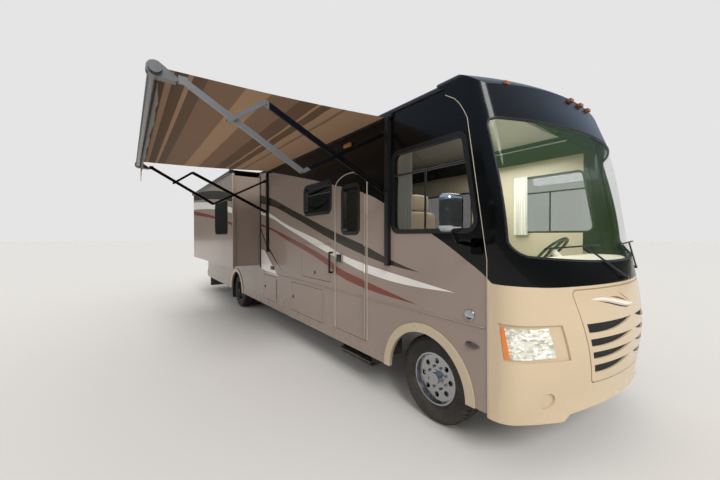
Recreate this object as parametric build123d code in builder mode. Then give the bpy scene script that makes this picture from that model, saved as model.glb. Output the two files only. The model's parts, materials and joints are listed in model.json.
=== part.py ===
from build123d import *
import math
import os

os.makedirs("parts", exist_ok=True)

# A motorhome of the flat-fronted kind on a front-engined truck chassis.
# Lengths in mm. X points forward from the front axle, Y to the vehicle's left, Z up from the ground.
# Everything is shifted at the end, so that the origin is under the middle of the whole object.

# Driving dimensions of the body
half_width = 1285
sill_z = 430
belt_z = 1100
wall_top_z = 3110
shoulder_z = 3196
shoulder_r = 70
crown_z = 3250
wall = 50
skirt = 30
floor_top_z = 1000
floor_thick = 75
rear_x = -10120
rear_corner = 160
seat_gap = 0.3
door_gap = 6

# Driving dimensions of the running gear
wheelbase = 6400
tyre_r = 425
tyre_width = 245
rim_r = 250
rim_width = 190
front_track = 2064
dual_outer_track = 2196
dual_spacing = 286
kingpin_y = 850
rail_y = 430
rail_width = 76
rail_bottom_z = 600
rail_height = 230
arch_r = 480
flare_width = 85
flare_proud = 14

# The seam between the moulded front cap and the side walls, in side view
seam_low = (678, 360)
seam_belt = (664, 1640)
seam_high = (480, 2803)
seam_bend = (352, 3005)
seam_top = (144, 3179)
cap_back_x = 40
cap_wall = 40

# Front cap in plan, one row for each level: height, nose x, front radius, corner radius
cap_levels = (
    (400, 1230, 2150, 190),
    (860, 1250, 2400, 210),
    (1400, 1209, 2600, 210),
    (1640, 1150, 3000, 190),
    (2330, 1043, 3000, 160),
    (2870, 910, 3000, 150),
    (3320, 795, 3000, 150),
)

# The brow over the windscreen: a quarter ellipse turned about the plan centre of the cap's front
brow_z = 2940
brow_x = 903
brow_r = 3000
brow_depth = 640
brow_rise = 347
cap_lift = 25

# The front cap's lower edge, which arches up between the wheels
arch_side_half = 860
arch_low_half = 800
arch_low_z = 450
arch_top_z = 490

rear_axle_x = -wheelbase
parts = {}


def keep(name, solid):
    """Label a finished piece and put it with the others."""
    solid.label = name
    parts[name] = solid


def block(x0, x1, y0, y1, z0, z1, mode=Mode.ADD):
    """A box between two corners, in the part being built."""
    with Locations(((x0 + x1) / 2, (y0 + y1) / 2, (z0 + z1) / 2)):
        Box(abs(x1 - x0), abs(y1 - y0), abs(z1 - z0), mode=mode)


def rod(start, end, radius, mode=Mode.ADD):
    """A round bar from one point to another, in the part being built."""
    line = Vector(*end) - Vector(*start)
    with BuildSketch(Plane(origin=start, z_dir=line)) as section:
        Circle(radius)
    extrude(section.sketch, amount=line.length, mode=mode)


def beam(start, end, width, height, mode=Mode.ADD):
    """A bar of rectangular section whose width stays level, from one point to another."""
    line = Vector(*end) - Vector(*start)
    level = Vector(0, 0, 1).cross(line)
    with BuildSketch(Plane(origin=start, x_dir=level, z_dir=line)) as section:
        Rectangle(width, height)
    extrude(section.sketch, amount=line.length, mode=mode)


def side_panel(side, face_y, thick, x0, x1, z0, z1, corner, mode=Mode.ADD):
    """A flat panel with rounded corners, parallel to the side, that goes inwards from face_y."""
    with BuildSketch(Plane.XZ.offset(-side * face_y)) as outline:
        with Locations(((x0 + x1) / 2, (z0 + z1) / 2)):
            if corner > 0:
                RectangleRounded(abs(x1 - x0), abs(z1 - z0), corner)
            else:
                Rectangle(abs(x1 - x0), abs(z1 - z0))
    extrude(outline.sketch, amount=side * thick, mode=mode)


def side_disc(side, face_y, thick, x, z, radius, mode=Mode.ADD):
    """A round disc parallel to the side that goes inwards from face_y."""
    with BuildSketch(Plane.XZ.offset(-side * face_y)) as outline:
        with Locations((x, z)):
            Circle(radius)
    extrude(outline.sketch, amount=side * thick, mode=mode)


def body_section(inset, side):
    """Cross-section of the house between y = -side and side: rounded shoulders and a crowned roof."""
    turn = math.radians(85)
    radius = shoulder_r - inset
    corner_y = half_width - shoulder_r + 1
    corner_z = shoulder_z - shoulder_r
    top = (corner_y + radius * math.cos(turn), corner_z + radius * math.sin(turn))
    bend = (corner_y + radius * math.cos(turn / 2), corner_z + radius * math.sin(turn / 2))
    with BuildSketch(Plane.YZ) as section:
        with BuildLine():
            Polyline((corner_y + radius, corner_z), (side, corner_z), (side, 0), (-side, 0), (-side, corner_z),
                     (-corner_y - radius, corner_z))
            ThreePointArc((-corner_y - radius, corner_z), (-bend[0], bend[1]), (-top[0], top[1]))
            ThreePointArc((-top[0], top[1]), (0, crown_z - inset), top)
            ThreePointArc(top, bend, (corner_y + radius, corner_z))
        make_face()
    return section.sketch


def body_prism(inset):
    with BuildPart() as prism:
        extrude(body_section(inset, half_width + 100), amount=12000, both=True)
    return prism.part


def behind_seam():
    """Everything behind the line where the front cap meets the house."""
    with BuildPart() as region:
        with BuildSketch(Plane.XZ) as outline:
            with BuildLine():
                Polyline((seam_top[0], seam_top[1]), (seam_top[0], 3600), (-12000, 3600), (-12000, 0),
                         (seam_low[0], 0), seam_low, seam_belt, seam_high)
                ThreePointArc(seam_high, seam_bend, seam_top)
            make_face()
        extrude(amount=2000, both=True)
    return region.part


def brow_body(inset):
    """A turned body whose rounded upper edge is the brow above the windscreen."""
    centre_x = brow_x - brow_r
    reach = brow_r - inset
    top_z = brow_z + brow_rise - inset
    with BuildPart() as body:
        with BuildSketch(Plane.XZ) as profile:
            with BuildLine():
                EllipticalCenterArc((centre_x + brow_r - brow_depth, brow_z), brow_depth - inset,
                                    brow_rise - inset, start_angle=0, arc_size=90)
                Line((centre_x + brow_r - brow_depth, top_z), (centre_x, top_z))
                Line((centre_x, top_z), (centre_x, brow_z))
                Line((centre_x, brow_z), (centre_x + reach, brow_z))
            make_face()
        revolve(axis=Axis((centre_x, 0, 0), (0, 0, 1)))
        block(-200, 1600, -1600, 1600, 200, brow_z)
    return body.part


def cap_face_x(y, z):
    """About how far forward the front cap's face is, at a place across the vehicle and a height."""
    for low, high in zip(cap_levels, cap_levels[1:]):
        if z <= high[0]:
            break
    share = (z - low[0]) / (high[0] - low[0])
    nose = low[1] + share * (high[1] - low[1])
    radius = low[2] + share * (high[2] - low[2])
    return nose - radius + math.sqrt(radius**2 - y**2)


def cap_solid(inset):
    """The whole front cap as a solid, its skin moved inwards by inset."""
    side = half_width - inset
    levels = []
    for height, nose, front_r, corner_r in cap_levels:
        reach = nose - inset
        radius = front_r - inset
        side_x = reach - radius + math.sqrt(radius**2 - side**2)
        with BuildSketch(Plane.XY.offset(height)) as level:
            with BuildLine():
                Line((cap_back_x, side), (cap_back_x, -side))
                Line((cap_back_x, -side), (side_x, -side))
                ThreePointArc((side_x, -side), (reach, 0), (side_x, side))
                Line((side_x, side), (cap_back_x, side))
            make_face()
            fillet(level.vertices().group_by(Axis.X)[-1], corner_r - inset)
        levels.append(level.sketch)
    with BuildPart() as solid:
        loft(levels)
        add(body_prism(inset).moved(Location((0, 0, cap_lift))), mode=Mode.INTERSECT)
        add(brow_body(inset), mode=Mode.INTERSECT)
    return solid.part


behind = behind_seam()
shell_outer = cap_solid(0)
shell_inner = cap_solid(cap_wall)
glass_outer = cap_solid(8)
glass_inner = cap_solid(16)
cap_lining = cap_solid(cap_wall + 20)

# Windscreen outline seen from the front, and the sloping line in side view that it ends at
screen_half = 1262
screen_low_z = 1605
screen_side_z = 1680
screen_top_z = 2765
screen_low_corner = 130
screen_high_corner = 45
screen_back = ((590, 2900), (790, 1500))


def screen_prism(grow):
    """The windscreen's outline pushed along X, larger all round by grow."""
    with BuildPart() as prism:
        with BuildSketch(Plane.YZ) as outline:
            with BuildLine():
                edge_y = screen_half + grow
                low_z = screen_side_z - grow
                top_z = screen_top_z + grow
                Polyline((-edge_y, low_z), (-edge_y, top_z), (edge_y, top_z), (edge_y, low_z))
                ThreePointArc((-edge_y, low_z), (0, screen_low_z - grow), (edge_y, low_z))
            make_face()
            fillet(outline.vertices().group_by(Axis.Y)[0], screen_low_corner)
            fillet(outline.vertices().group_by(Axis.Y)[-1], screen_high_corner)
        extrude(amount=1400)
        with BuildSketch(Plane.XZ) as front_part:
            with BuildLine():
                (high_x, high_z), (low_x, low_z) = screen_back
                Polyline((high_x - grow, high_z), (1500, high_z), (1500, low_z), (low_x - grow, low_z), close=True)
            make_face()
        extrude(front_part.sketch, amount=1400, both=True, mode=Mode.INTERSECT)
    return prism.part


# Hood outline seen from the front
hood_top_z = 1405
hood_low_z = 672
hood_top_half = 815
hood_low_half = 600
hood_hinge_x = 1150
hood_hinge_z = 1585
hood_gap = 9
hood_skin = 12
hood_rebate = 25
lip_width = 12


def hood_prism(grow):
    with BuildPart() as prism:
        with BuildSketch(Plane.YZ) as outline:
            with BuildLine():
                Polyline((-hood_top_half - grow, hood_top_z + grow), (hood_top_half + grow, hood_top_z + grow),
                         (hood_low_half + grow, hood_low_z - grow), (-hood_low_half - grow, hood_low_z - grow),
                         close=True)
            make_face()
            fillet(outline.vertices(), 40)
        extrude(amount=1400)
        block(-10, 600, -1400, 1400, 300, 1600, mode=Mode.SUBTRACT)
    return prism.part


def hood_lip():
    """The ledge of the cap that the closed hood's skin rests on."""
    with BuildPart() as lip:
        add(cap_solid(hood_skin + seat_gap))
        add(cap_lining, mode=Mode.SUBTRACT)
        add(hood_prism(hood_gap + lip_width), mode=Mode.INTERSECT)
        add(hood_prism(-lip_width), mode=Mode.SUBTRACT)
    return lip.part


# Right headlamp and the shallow recess round it: y and z of the inner corners seen from the front, and
# x and z of the outer corners seen from the side, each as top and bottom
lamp_inner = ((-1030, 1138), (-969, 913))
lamp_outer = ((762, 1133), (812, 903))
recess_inner = ((-927, 1158), (-850, 886))
recess_outer = ((750, 1168), (800, 890))
recess_depth = 16
fog_place = (-1013, 582)
fog_r = 62


def wrapped_prism(inner, outer, grow):
    """A shape that starts on the front face and ends round the corner, on the right side."""
    (inner_top_y, top_z), (inner_low_y, low_z) = inner
    (outer_top_x, outer_top_z), (outer_low_x, outer_low_z) = outer
    past = half_width + 100
    with BuildPart() as prism:
        with BuildSketch(Plane.YZ) as outline:
            with BuildLine():
                Polyline((-past, outer_top_z + grow), (inner_top_y + grow, top_z + grow),
                         (inner_low_y + grow, low_z - grow), (-past, outer_low_z - grow), close=True)
            make_face()
        extrude(amount=1400)
        with BuildSketch(Plane.XZ) as front_part:
            with BuildLine():
                Polyline((outer_top_x - grow, outer_top_z + 60), (1500, outer_top_z + 60), (1500, outer_low_z - 60),
                         (outer_low_x - grow, outer_low_z - 60), close=True)
            make_face()
        extrude(front_part.sketch, amount=1400, both=True, mode=Mode.INTERSECT)
    return prism.part


def front_recesses():
    """What the moulding leaves out round each headlamp and at each round fog lamp place."""
    with BuildPart() as recesses:
        add(wrapped_prism(recess_inner, recess_outer, 0))
        rod((500, *fog_place), (1500, *fog_place), fog_r)
        add(cap_solid(recess_depth), mode=Mode.SUBTRACT)
    return recesses.part


with BuildPart() as front_cap:
    add(shell_outer)
    add(shell_inner, mode=Mode.SUBTRACT)
    add(behind, mode=Mode.SUBTRACT)
    add(screen_prism(0), mode=Mode.SUBTRACT)
    add(hood_prism(hood_gap), mode=Mode.SUBTRACT)
    for cut in (front_recesses(), wrapped_prism(lamp_inner, lamp_outer, seat_gap)):
        add(cut, mode=Mode.SUBTRACT)
        add(cut.mirror(Plane.XZ), mode=Mode.SUBTRACT)
    with BuildSketch(Plane.YZ) as lower_edge:
        with BuildLine():
            Polyline((-arch_low_half, arch_low_z), (-arch_side_half, 400), (arch_side_half, 400),
                     (arch_low_half, arch_low_z))
            ThreePointArc((-arch_low_half, arch_low_z), (0, arch_top_z), (arch_low_half, arch_low_z))
        make_face()
    extrude(lower_edge.sketch, amount=1500, mode=Mode.SUBTRACT)
    add(hood_lip(), mode=Mode.ADD)
keep("front_cap", front_cap.part)

with BuildPart() as windscreen:
    add(glass_outer)
    add(glass_inner, mode=Mode.SUBTRACT)
    add(screen_prism(-seat_gap), mode=Mode.INTERSECT)
keep("windscreen", windscreen.part)

# Grille slots on each side of the hood's centre: top z, low z and the outer end's y at the top
grille_slots = ((1148, 1078, 705), (1028, 970, 672), (922, 868, 640), (815, 752, 606))
slot_tip_y = 40
slot_end_slope = 0.29


def grille_slot(top_z, low_z, outer_y):
    """A slot with a level upper edge and a lower edge that curves up to a point near the middle."""
    height = top_z - low_z
    low_outer_y = outer_y - slot_end_slope * height
    turn = (0.46 * outer_y, low_z + 0.16 * height)
    with BuildSketch(Plane.YZ.offset(900)) as outline:
        with BuildLine():
            Polyline((slot_tip_y, top_z), (outer_y, top_z), (low_outer_y, low_z))
            ThreePointArc((low_outer_y, low_z), turn, (slot_tip_y, top_z))
        make_face()
        mirror(about=Plane.YZ)
    extrude(outline.sketch, amount=500, mode=Mode.SUBTRACT)


with BuildPart() as hood_pan:
    add(cap_solid(hood_skin - 1))
    add(shell_inner, mode=Mode.SUBTRACT)
    add(hood_prism(-hood_rebate), mode=Mode.INTERSECT)

with BuildPart() as hood:
    add(shell_outer)
    add(cap_solid(hood_skin), mode=Mode.SUBTRACT)
    add(hood_prism(0), mode=Mode.INTERSECT)
    add(hood_pan.part)
    for top_z, low_z, outer_y in grille_slots:
        grille_slot(top_z, low_z, outer_y)
keep("hood", hood.part)

with BuildPart() as headlamps:
    add(glass_outer)
    add(cap_lining, mode=Mode.SUBTRACT)
    add(wrapped_prism(lamp_inner, lamp_outer, 0), mode=Mode.INTERSECT)
    mirror(about=Plane.XZ)
keep("headlamps", headlamps.part)

# Window frames lap the wall's opening
frame_lap = 20
frame_width = 45
frame_proud = 5
glass_thick = 6

# Windows by the outside of their frames: x of the two ends, z of the bottom and top, corner radius, and
# how far the front edge leans back towards its top
cockpit_window = (-463, 600, 1850, 2715, 110, 135)
small_window = (-2544, -1680, 2130, 2610, 110, 0)
bedroom_window = (-9000, -8100, 1900, 2500, 110, 0)
dining_window = (-4300, -3100, 1900, 2600, 110, 0)
lounge_window = (-2400, -1200, 1900, 2600, 110, 0)
entry = (-1571, -899, 592, 2600, 0)
entry_corner = 150
slide = (-9140, -4575, 1170, 3085, 0)
slide_lap = 40
slide_gap = 8
slide_out = 567
slide_wall = 45
slide_stop = 5
slide_travel = slide_out - slide_wall - slide_stop
topper_r = 34
topper_y = half_width + slide_out + 10
topper_rail = 14
topper_z = slide[3] + topper_r + seat_gap
topper_top_z = topper_z + topper_r

# Hinged doors in the sides: side, x of the two ends, z of the bottom and top, hinge edge
side_doors = {
    "cabinet_door": (-1, -2620, -1717, 1190, 1716, "top"),
    "storage_door_right": (-1, -3030, -1933, 568, 1040, "front"),
    "utility_door_right": (-1, -4390, -3700, 568, 1040, "front"),
    "storage_door_left": (1, -3030, -1933, 568, 1040, "front"),
}


def arch_cut(side, x, radius):
    side_disc(side, half_width + 100, 250, x, tyre_r, radius, mode=Mode.SUBTRACT)


def arched_door(side, face_y, thick, grow, mode):
    """The entry door's outline, with its arched top."""
    x0, x1, z0, z1, corner = entry
    with BuildSketch(Plane.XZ.offset(-side * face_y)) as outline:
        with BuildLine():
            Line((x0 - grow, z0 - grow), (x1 + grow, z0 - grow))
            Line((x1 + grow, z0 - grow), (x1 + grow, z1 - entry_corner))
            ThreePointArc((x1 + grow, z1 - entry_corner), ((x0 + x1) / 2, z1 + grow), (x0 - grow, z1 - entry_corner))
            Line((x0 - grow, z1 - entry_corner), (x0 - grow, z0 - grow))
        make_face()
    extrude(outline.sketch, amount=side * thick, mode=mode)


def hinge_leaf_x(side, x, z0, z1):
    """The fixed leaf of an upright hinge at a door's front edge."""
    block(x + door_gap + 1, x + 30, side * (half_width - 1), side * (half_width + 3), z0, z1)
    block(x - 0.7, x + door_gap + 2, side * (half_width + seat_gap), side * (half_width + 3), z0, z1)


def hinge_leaf_z(side, z, x0, x1):
    """The fixed leaf of a level hinge at a door's top edge."""
    block(x0, x1, side * (half_width - 1), side * (half_width + 3), z + door_gap + 1, z + 30)
    block(x0, x1, side * (half_width + seat_gap), side * (half_width + 3), z - 0.7, z + door_gap + 2)


def window_shape(side, face_y, thick, window, inset, mode=Mode.ADD):
    """A panel with a window's outline, its edges moved inwards by inset."""
    x0, x1, z0, z1, corner, lean = window
    with BuildSketch(Plane.XZ.offset(-side * face_y)) as outline:
        with BuildLine():
            Polyline((x0 + inset, z0 + inset), (x1 - inset, z0 + inset), (x1 - lean - inset, z1 - inset),
                     (x0 + inset, z1 - inset), close=True)
        make_face()
        fillet(outline.vertices(), corner - inset)
    extrude(outline.sketch, amount=side * thick, mode=mode)


def window_cut(side, window):
    window_shape(side, half_width + 100, 250, window, frame_lap, mode=Mode.SUBTRACT)


side_windows = {-1: (cockpit_window, small_window), 1: (cockpit_window, lounge_window, dining_window, bedroom_window)}
names = {-1: "right", 1: "left"}
# The skirts are made in three bands: a sill, the panels between the doors, and a rail above them
skirt_seams = (564, 1043.7)

for side in (-1, 1):
    with BuildPart() as upper_wall:
        side_panel(side, half_width, wall, rear_x + rear_corner, 700, belt_z, wall_top_z, 0)
        add(behind, mode=Mode.INTERSECT)
        for window in side_windows[side]:
            window_cut(side, window)
        if side < 0:
            arched_door(side, half_width + 100, 250, door_gap, Mode.SUBTRACT)
            side_panel(side, half_width + 100, 250, slide[0] + slide_lap - slide_gap, slide[1] - slide_lap + slide_gap,
                       slide[2] + slide_lap - slide_gap, slide[3] - slide_lap + slide_gap, 0, mode=Mode.SUBTRACT)
        for door_side, x0, x1, z0, z1, hinge in side_doors.values():
            if door_side == side and z0 > belt_z:
                side_panel(side, half_width + 100, 250, x0 - door_gap, x1 + door_gap, z0 - door_gap, z1 + door_gap,
                           20, mode=Mode.SUBTRACT)
                hinge_leaf_z(side, z1, x0 + 60, x1 - 60)
        if side < 0:
            hinge_leaf_x(side, entry[1] - 2, entry[2] + 600, entry[3] - entry_corner - 20)
            for pad_x in (slide[0] + 400, slide[0] + 1600, slide[1] - 1600, slide[1] - 400):
                block(pad_x - 60, pad_x + 60, -half_width, -half_width + wall,
                      slide[2] + slide_lap - slide_gap - 1, slide[2] + slide_lap - seat_gap)
    keep(names[side] + "_wall", upper_wall.part)

    with BuildPart() as lower_wall:
        side_panel(side, half_width, skirt, rear_x + rear_corner, 700, sill_z, belt_z, 0)
        add(behind, mode=Mode.INTERSECT)
        arch_cut(side, 0, arch_r)
        arch_cut(side, rear_axle_x, arch_r)
        if side < 0:
            arched_door(side, half_width + 100, 250, door_gap, Mode.SUBTRACT)
        for door_side, x0, x1, z0, z1, hinge in side_doors.values():
            if door_side == side and z0 < belt_z:
                side_panel(side, half_width + 100, 250, x0 - door_gap, x1 + door_gap, z0 - door_gap, z1 + door_gap,
                           20, mode=Mode.SUBTRACT)
                hinge_leaf_x(side, x1, z0 + 40, z1 - 40)
        for seam_z in skirt_seams:
            block(rear_x - 100, 1000, side * (half_width - skirt - 20), side * (half_width + 20),
                  seam_z, seam_z + seat_gap, mode=Mode.SUBTRACT)
    keep(names[side] + "_skirt", lower_wall.part)

with BuildPart() as fender_flares:
    for side in (-1, 1):
        for arch_x in (0, rear_axle_x):
            side_disc(side, half_width + flare_proud, flare_proud - seat_gap, arch_x, tyre_r, arch_r + flare_width)
            side_disc(side, half_width + flare_proud + 1, flare_proud + 2, arch_x, tyre_r, arch_r, mode=Mode.SUBTRACT)
    block(rear_axle_x - 800, 800, -half_width - 60, half_width + 60, -200, sill_z, mode=Mode.SUBTRACT)
keep("fender_flares", fender_flares.part)

# Rear cap: one moulding with rounded corners, round the back of the house
rear_wall = 50
with BuildPart() as rear_cap:
    with BuildSketch(Plane.XY.offset(sill_z)) as rear_plan:
        with Locations((rear_x + rear_corner / 2, 0)):
            Rectangle(rear_corner, 2 * half_width)
        fillet(rear_plan.vertices().group_by(Axis.X)[0], rear_corner - 1)
    extrude(amount=wall_top_z - sill_z)
    with BuildSketch(Plane.XY.offset(sill_z - 1)) as rear_inside:
        with Locations((rear_x + rear_wall + rear_corner / 2, 0)):
            Rectangle(rear_corner, 2 * (half_width - rear_wall))
        fillet(rear_inside.vertices().group_by(Axis.X)[0], rear_corner - rear_wall - 1)
    extrude(amount=wall_top_z - sill_z + 2, mode=Mode.SUBTRACT)
    with BuildSketch(Plane.XY.offset(sill_z + 20)) as bumper_plan:
        with Locations((rear_x - 40, 0)):
            RectangleRounded(100, 2 * half_width - 40, 40)
    extrude(amount=220)
keep("rear_cap", rear_cap.part)

with BuildPart() as roof:
    extrude(body_section(0, half_width), amount=rear_x)
    extrude(body_section(0, half_width), amount=700)
    add(body_prism(wall), mode=Mode.SUBTRACT)
    add(behind, mode=Mode.INTERSECT)
    block(-13000, 3000, -2000, 2000, -10, wall_top_z, mode=Mode.SUBTRACT)
    with BuildSketch(Plane.XY.offset(wall_top_z - 5)) as roof_plan:
        with Locations((rear_x + 6000, 0)):
            Rectangle(12000, 2 * half_width + 200)
        fillet(roof_plan.vertices().group_by(Axis.X)[0], rear_corner + 90)
    extrude(amount=400, mode=Mode.INTERSECT)
keep("roof", roof.part)

# Floor, with the step well inside the entry door
well_depth = 520
well_floor_z = 600
tread = 30
step_top_z = 325
step_travel = 280
with BuildPart() as floor:
    inner_y = half_width - wall
    block(rear_x + rear_corner, 620, -inner_y, inner_y, floor_top_z - floor_thick, floor_top_z)
    block(rear_x + rear_wall, rear_x + rear_corner + 1, -half_width + rear_corner, half_width - rear_corner,
          floor_top_z - floor_thick, floor_top_z)
    block(entry[0] - 20, entry[1] + 20, -half_width - 5, -inner_y + well_depth, 300, floor_top_z + 5, mode=Mode.SUBTRACT)
    for z0, y0, y1 in ((well_floor_z - tread, -inner_y, -inner_y + well_depth),
                       (well_floor_z + 200 - tread, -inner_y + 260, -inner_y + well_depth)):
        block(entry[0] - 20, entry[1] + 20, y0, y1, z0, z0 + tread)
    for x0 in (entry[0] - 20 - tread, entry[1] + 20):
        block(x0, x0 + tread, -inner_y, -inner_y + well_depth + tread, well_floor_z - tread, floor_top_z - floor_thick)
    block(entry[0] - 20, entry[1] + 20, -inner_y + well_depth, -inner_y + well_depth + tread,
          well_floor_z - tread, floor_top_z - floor_thick)
    for x0 in (entry[0] - 10, entry[1] - 30):
        block(x0, x0 + 40, -1180, -720, step_top_z + seat_gap, well_floor_z - tread)
keep("floor", floor.part)

# Chassis: two channel rails, cross members and floor bearers
rail_top_z = rail_bottom_z + rail_height
rail_front_x = 960
rail_web = 10
bearer_xs = (-9800, -8800, -7800, -5200, -4200, -3200, -2200, -700, 560)
cross_xs = (-9900, -8300, -7100, -5700, -4500, -3000, -1750, 900)
with BuildPart() as chassis_frame:
    for side in (-1, 1):
        block(rear_x + rear_corner + 20, rail_front_x, side * (rail_y - rail_width / 2), side * (rail_y + rail_width / 2),
              rail_bottom_z, rail_top_z)
        block(rear_x, 1200, side * (rail_y - rail_width / 2), side * (rail_y + rail_width / 2 - rail_web),
              rail_bottom_z + rail_web, rail_top_z - rail_web, mode=Mode.SUBTRACT)
    web_y = rail_y + rail_width / 2 - rail_web - seat_gap
    for cross_x in cross_xs:
        block(cross_x - 30, cross_x + 30, -web_y, web_y, rail_bottom_z + 100, rail_top_z - 40)
    for bearer_x in bearer_xs:
        block(bearer_x - 30, bearer_x + 30, -half_width + wall, half_width - wall,
              rail_top_z + seat_gap, floor_top_z - floor_thick)
keep("chassis_frame", chassis_frame.part)

mount_y = rail_y - rail_width / 2 - seat_gap
with BuildPart() as power_train:
    block(60, 760, -300, 300, rail_bottom_z - 120, rail_top_z - 5)
    block(380, 460, -mount_y, mount_y, rail_bottom_z + 20, rail_bottom_z + 80)
    rod((-1500, 0, 640), (60, 0, 690), 90)
    rod((rear_axle_x + 172, 0, tyre_r + 10), (-1500, 0, 640), 45)
keep("power_train", power_train.part)

# Front axle beam with kingpin bosses
kingpin_r = 22
spindle_r = 30
axle_end_r = 40
knuckle_half = 90
with BuildPart() as front_axle:
    beam((0, -kingpin_y + 90, 430), (0, -560, 360), 90, 80)
    beam((0, kingpin_y - 90, 430), (0, 560, 360), 90, 80)
    block(-45, 45, -570, 570, 320, 400)
    for side in (-1, 1):
        block(-40, 40, side * (kingpin_y - 110), side * (kingpin_y - 5), 385, 465)
        rod((0, side * kingpin_y, tyre_r - 40), (0, side * kingpin_y, tyre_r + 40), 42)
        rod((0, side * kingpin_y, tyre_r - 41), (0, side * kingpin_y, tyre_r + 41), kingpin_r + 0.05, mode=Mode.SUBTRACT)
keep("front_axle", front_axle.part)

for side in (-1, 1):
    with BuildPart() as knuckle:
        rod((0, side * kingpin_y, tyre_r - knuckle_half), (0, side * kingpin_y, tyre_r + knuckle_half), kingpin_r)
        for z0, z1 in ((tyre_r - knuckle_half, tyre_r - 45), (tyre_r + 45, tyre_r + knuckle_half)):
            rod((0, side * kingpin_y, z0), (0, side * kingpin_y, z1), 42)
            block(-38, 38, side * kingpin_y, side * (kingpin_y + 60), z0, z1)
        block(-38, 38, side * (kingpin_y + 46), side * (kingpin_y + 70), tyre_r - knuckle_half, tyre_r + knuckle_half)
        rod((0, side * (kingpin_y + 68), tyre_r), (0, side * (front_track / 2 + 60), tyre_r), spindle_r)
    keep(names[side] + "_knuckle", knuckle.part)


tyre_sides = 48
shoulder_inset = 34
# Half of a tyre's outline, from the bulge of its side to its tread: inset from the side, and radius
tyre_outline = ((0, rim_r + 100), (12, tyre_r - 22), (shoulder_inset, tyre_r))


def tyre_ring(centre_y):
    """One tyre as a ring of flat faces round the wheel axis, a flat one down."""
    half = tyre_width / 2
    stations = [(inset - half, radius) for inset, radius in tyre_outline]
    stations += [(-y, radius) for y, radius in reversed(stations)]
    turned = 180 / tyre_sides
    rings = []
    for y, radius in stations:
        with BuildSketch(Plane.XZ.offset(-centre_y - y)) as ring:
            RegularPolygon(radius, tyre_sides, major_radius=False, rotation=turned)
        rings.append(ring.sketch)
    loft(rings, ruled=True)
    with BuildSketch(Plane.XZ.offset(-centre_y)) as bore:
        RegularPolygon(rim_r + seat_gap, tyre_sides, major_radius=False, rotation=turned)
    extrude(bore.sketch, amount=tyre_width, both=True, mode=Mode.SUBTRACT)


disc_thick = 22
hand_holes = 8
hand_hole_r = 26
hand_hole_circle = 165
lug_nuts = 8
lug_circle = 108
lug_size = 14
lug_out = 24
hub_r = 75
cap_r = 55


def rim_disc(centre_y, side, dish):
    """One wheel: its rim and its dished disc with hand holes, turned about the axis. The disc's middle is
    dish outwards from the rim's middle."""
    half = rim_width / 2
    disc_y = centre_y + side * dish
    inner_y = disc_y - disc_thick / 2
    outer_y = disc_y + disc_thick / 2
    with BuildSketch(Plane.YZ) as section:
        with BuildLine():
            Polyline((centre_y - half, rim_r), (centre_y - half, rim_r - 14), (inner_y, rim_r - 30), (inner_y, 50),
                     (outer_y, 50), (outer_y, rim_r - 30), (centre_y + half, rim_r - 14), (centre_y + half, rim_r),
                     close=True)
        make_face()
    revolve(section.sketch, axis=Axis.Y)
    with BuildSketch(Plane.XZ.offset(-disc_y)) as holes:
        with PolarLocations(hand_hole_circle, hand_holes):
            Circle(hand_hole_r)
    extrude(holes.sketch, amount=disc_thick, both=True, mode=Mode.SUBTRACT)


def hub_face(side, disc_y):
    """The lug nuts on the outer face of a wheel's disc."""
    with BuildSketch(Plane.XZ.offset(-disc_y)) as nuts:
        with PolarLocations(lug_circle, lug_nuts, start_angle=360 / lug_nuts / 2):
            RegularPolygon(lug_size, 6)
    extrude(nuts.sketch, amount=-side * (disc_thick / 2 + lug_out))


front_dish = 45
dual_dish = 70
for side in (-1, 1):
    wheel_y = side * front_track / 2
    with BuildPart() as front_tyre:
        tyre_ring(wheel_y)
    keep("front_" + names[side] + "_tyre", front_tyre.part.moved(Location((0, 0, tyre_r))))
    with BuildPart() as front_wheel:
        rim_disc(wheel_y, side, front_dish)
        hub_face(side, wheel_y + side * front_dish)
        rod((0, wheel_y - side * 80, 0), (0, wheel_y + side * (front_dish + 20), 0), hub_r)
        rod((0, wheel_y, 0), (0, wheel_y + side * 105, 0), cap_r)
        rod((0, wheel_y - side * 81, 0), (0, wheel_y + side * 61, 0), spindle_r + 0.05, mode=Mode.SUBTRACT)
    keep("front_" + names[side] + "_wheel", front_wheel.part.moved(Location((0, 0, tyre_r))))

    outer_y = side * dual_outer_track / 2
    inner_y = outer_y - side * dual_spacing
    with BuildPart() as rear_tyres:
        tyre_ring(outer_y)
        tyre_ring(inner_y)
    keep("rear_" + names[side] + "_tyres", rear_tyres.part.moved(Location((rear_axle_x, 0, tyre_r))))
    with BuildPart() as rear_wheels:
        rim_disc(outer_y, side, -dual_dish)
        rim_disc(inner_y, side, dual_dish)
        hub_face(side, outer_y - side * dual_dish)
        rod((0, inner_y - side * 60, 0), (0, outer_y - side * 40, 0), hub_r)
        rod((0, outer_y - side * 60, 0), (0, outer_y + side * 40, 0), cap_r)
        rod((0, inner_y - side * 61, 0), (0, outer_y - side * 20, 0), axle_end_r + 0.05, mode=Mode.SUBTRACT)
    keep("rear_" + names[side] + "_wheels", rear_wheels.part.moved(Location((rear_axle_x, 0, tyre_r))))

with BuildPart() as rear_axle:
    spindle_y = dual_outer_track / 2 - 21
    for side in (-1, 1):
        rod((rear_axle_x, 0, tyre_r), (rear_axle_x, side * 740, tyre_r), 62)
        rod((rear_axle_x, side * 700, tyre_r), (rear_axle_x, side * spindle_y, tyre_r), axle_end_r)
    rod((rear_axle_x - 130, 0, tyre_r), (rear_axle_x + 170, 0, tyre_r), 165)
keep("rear_axle", rear_axle.part)

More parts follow.
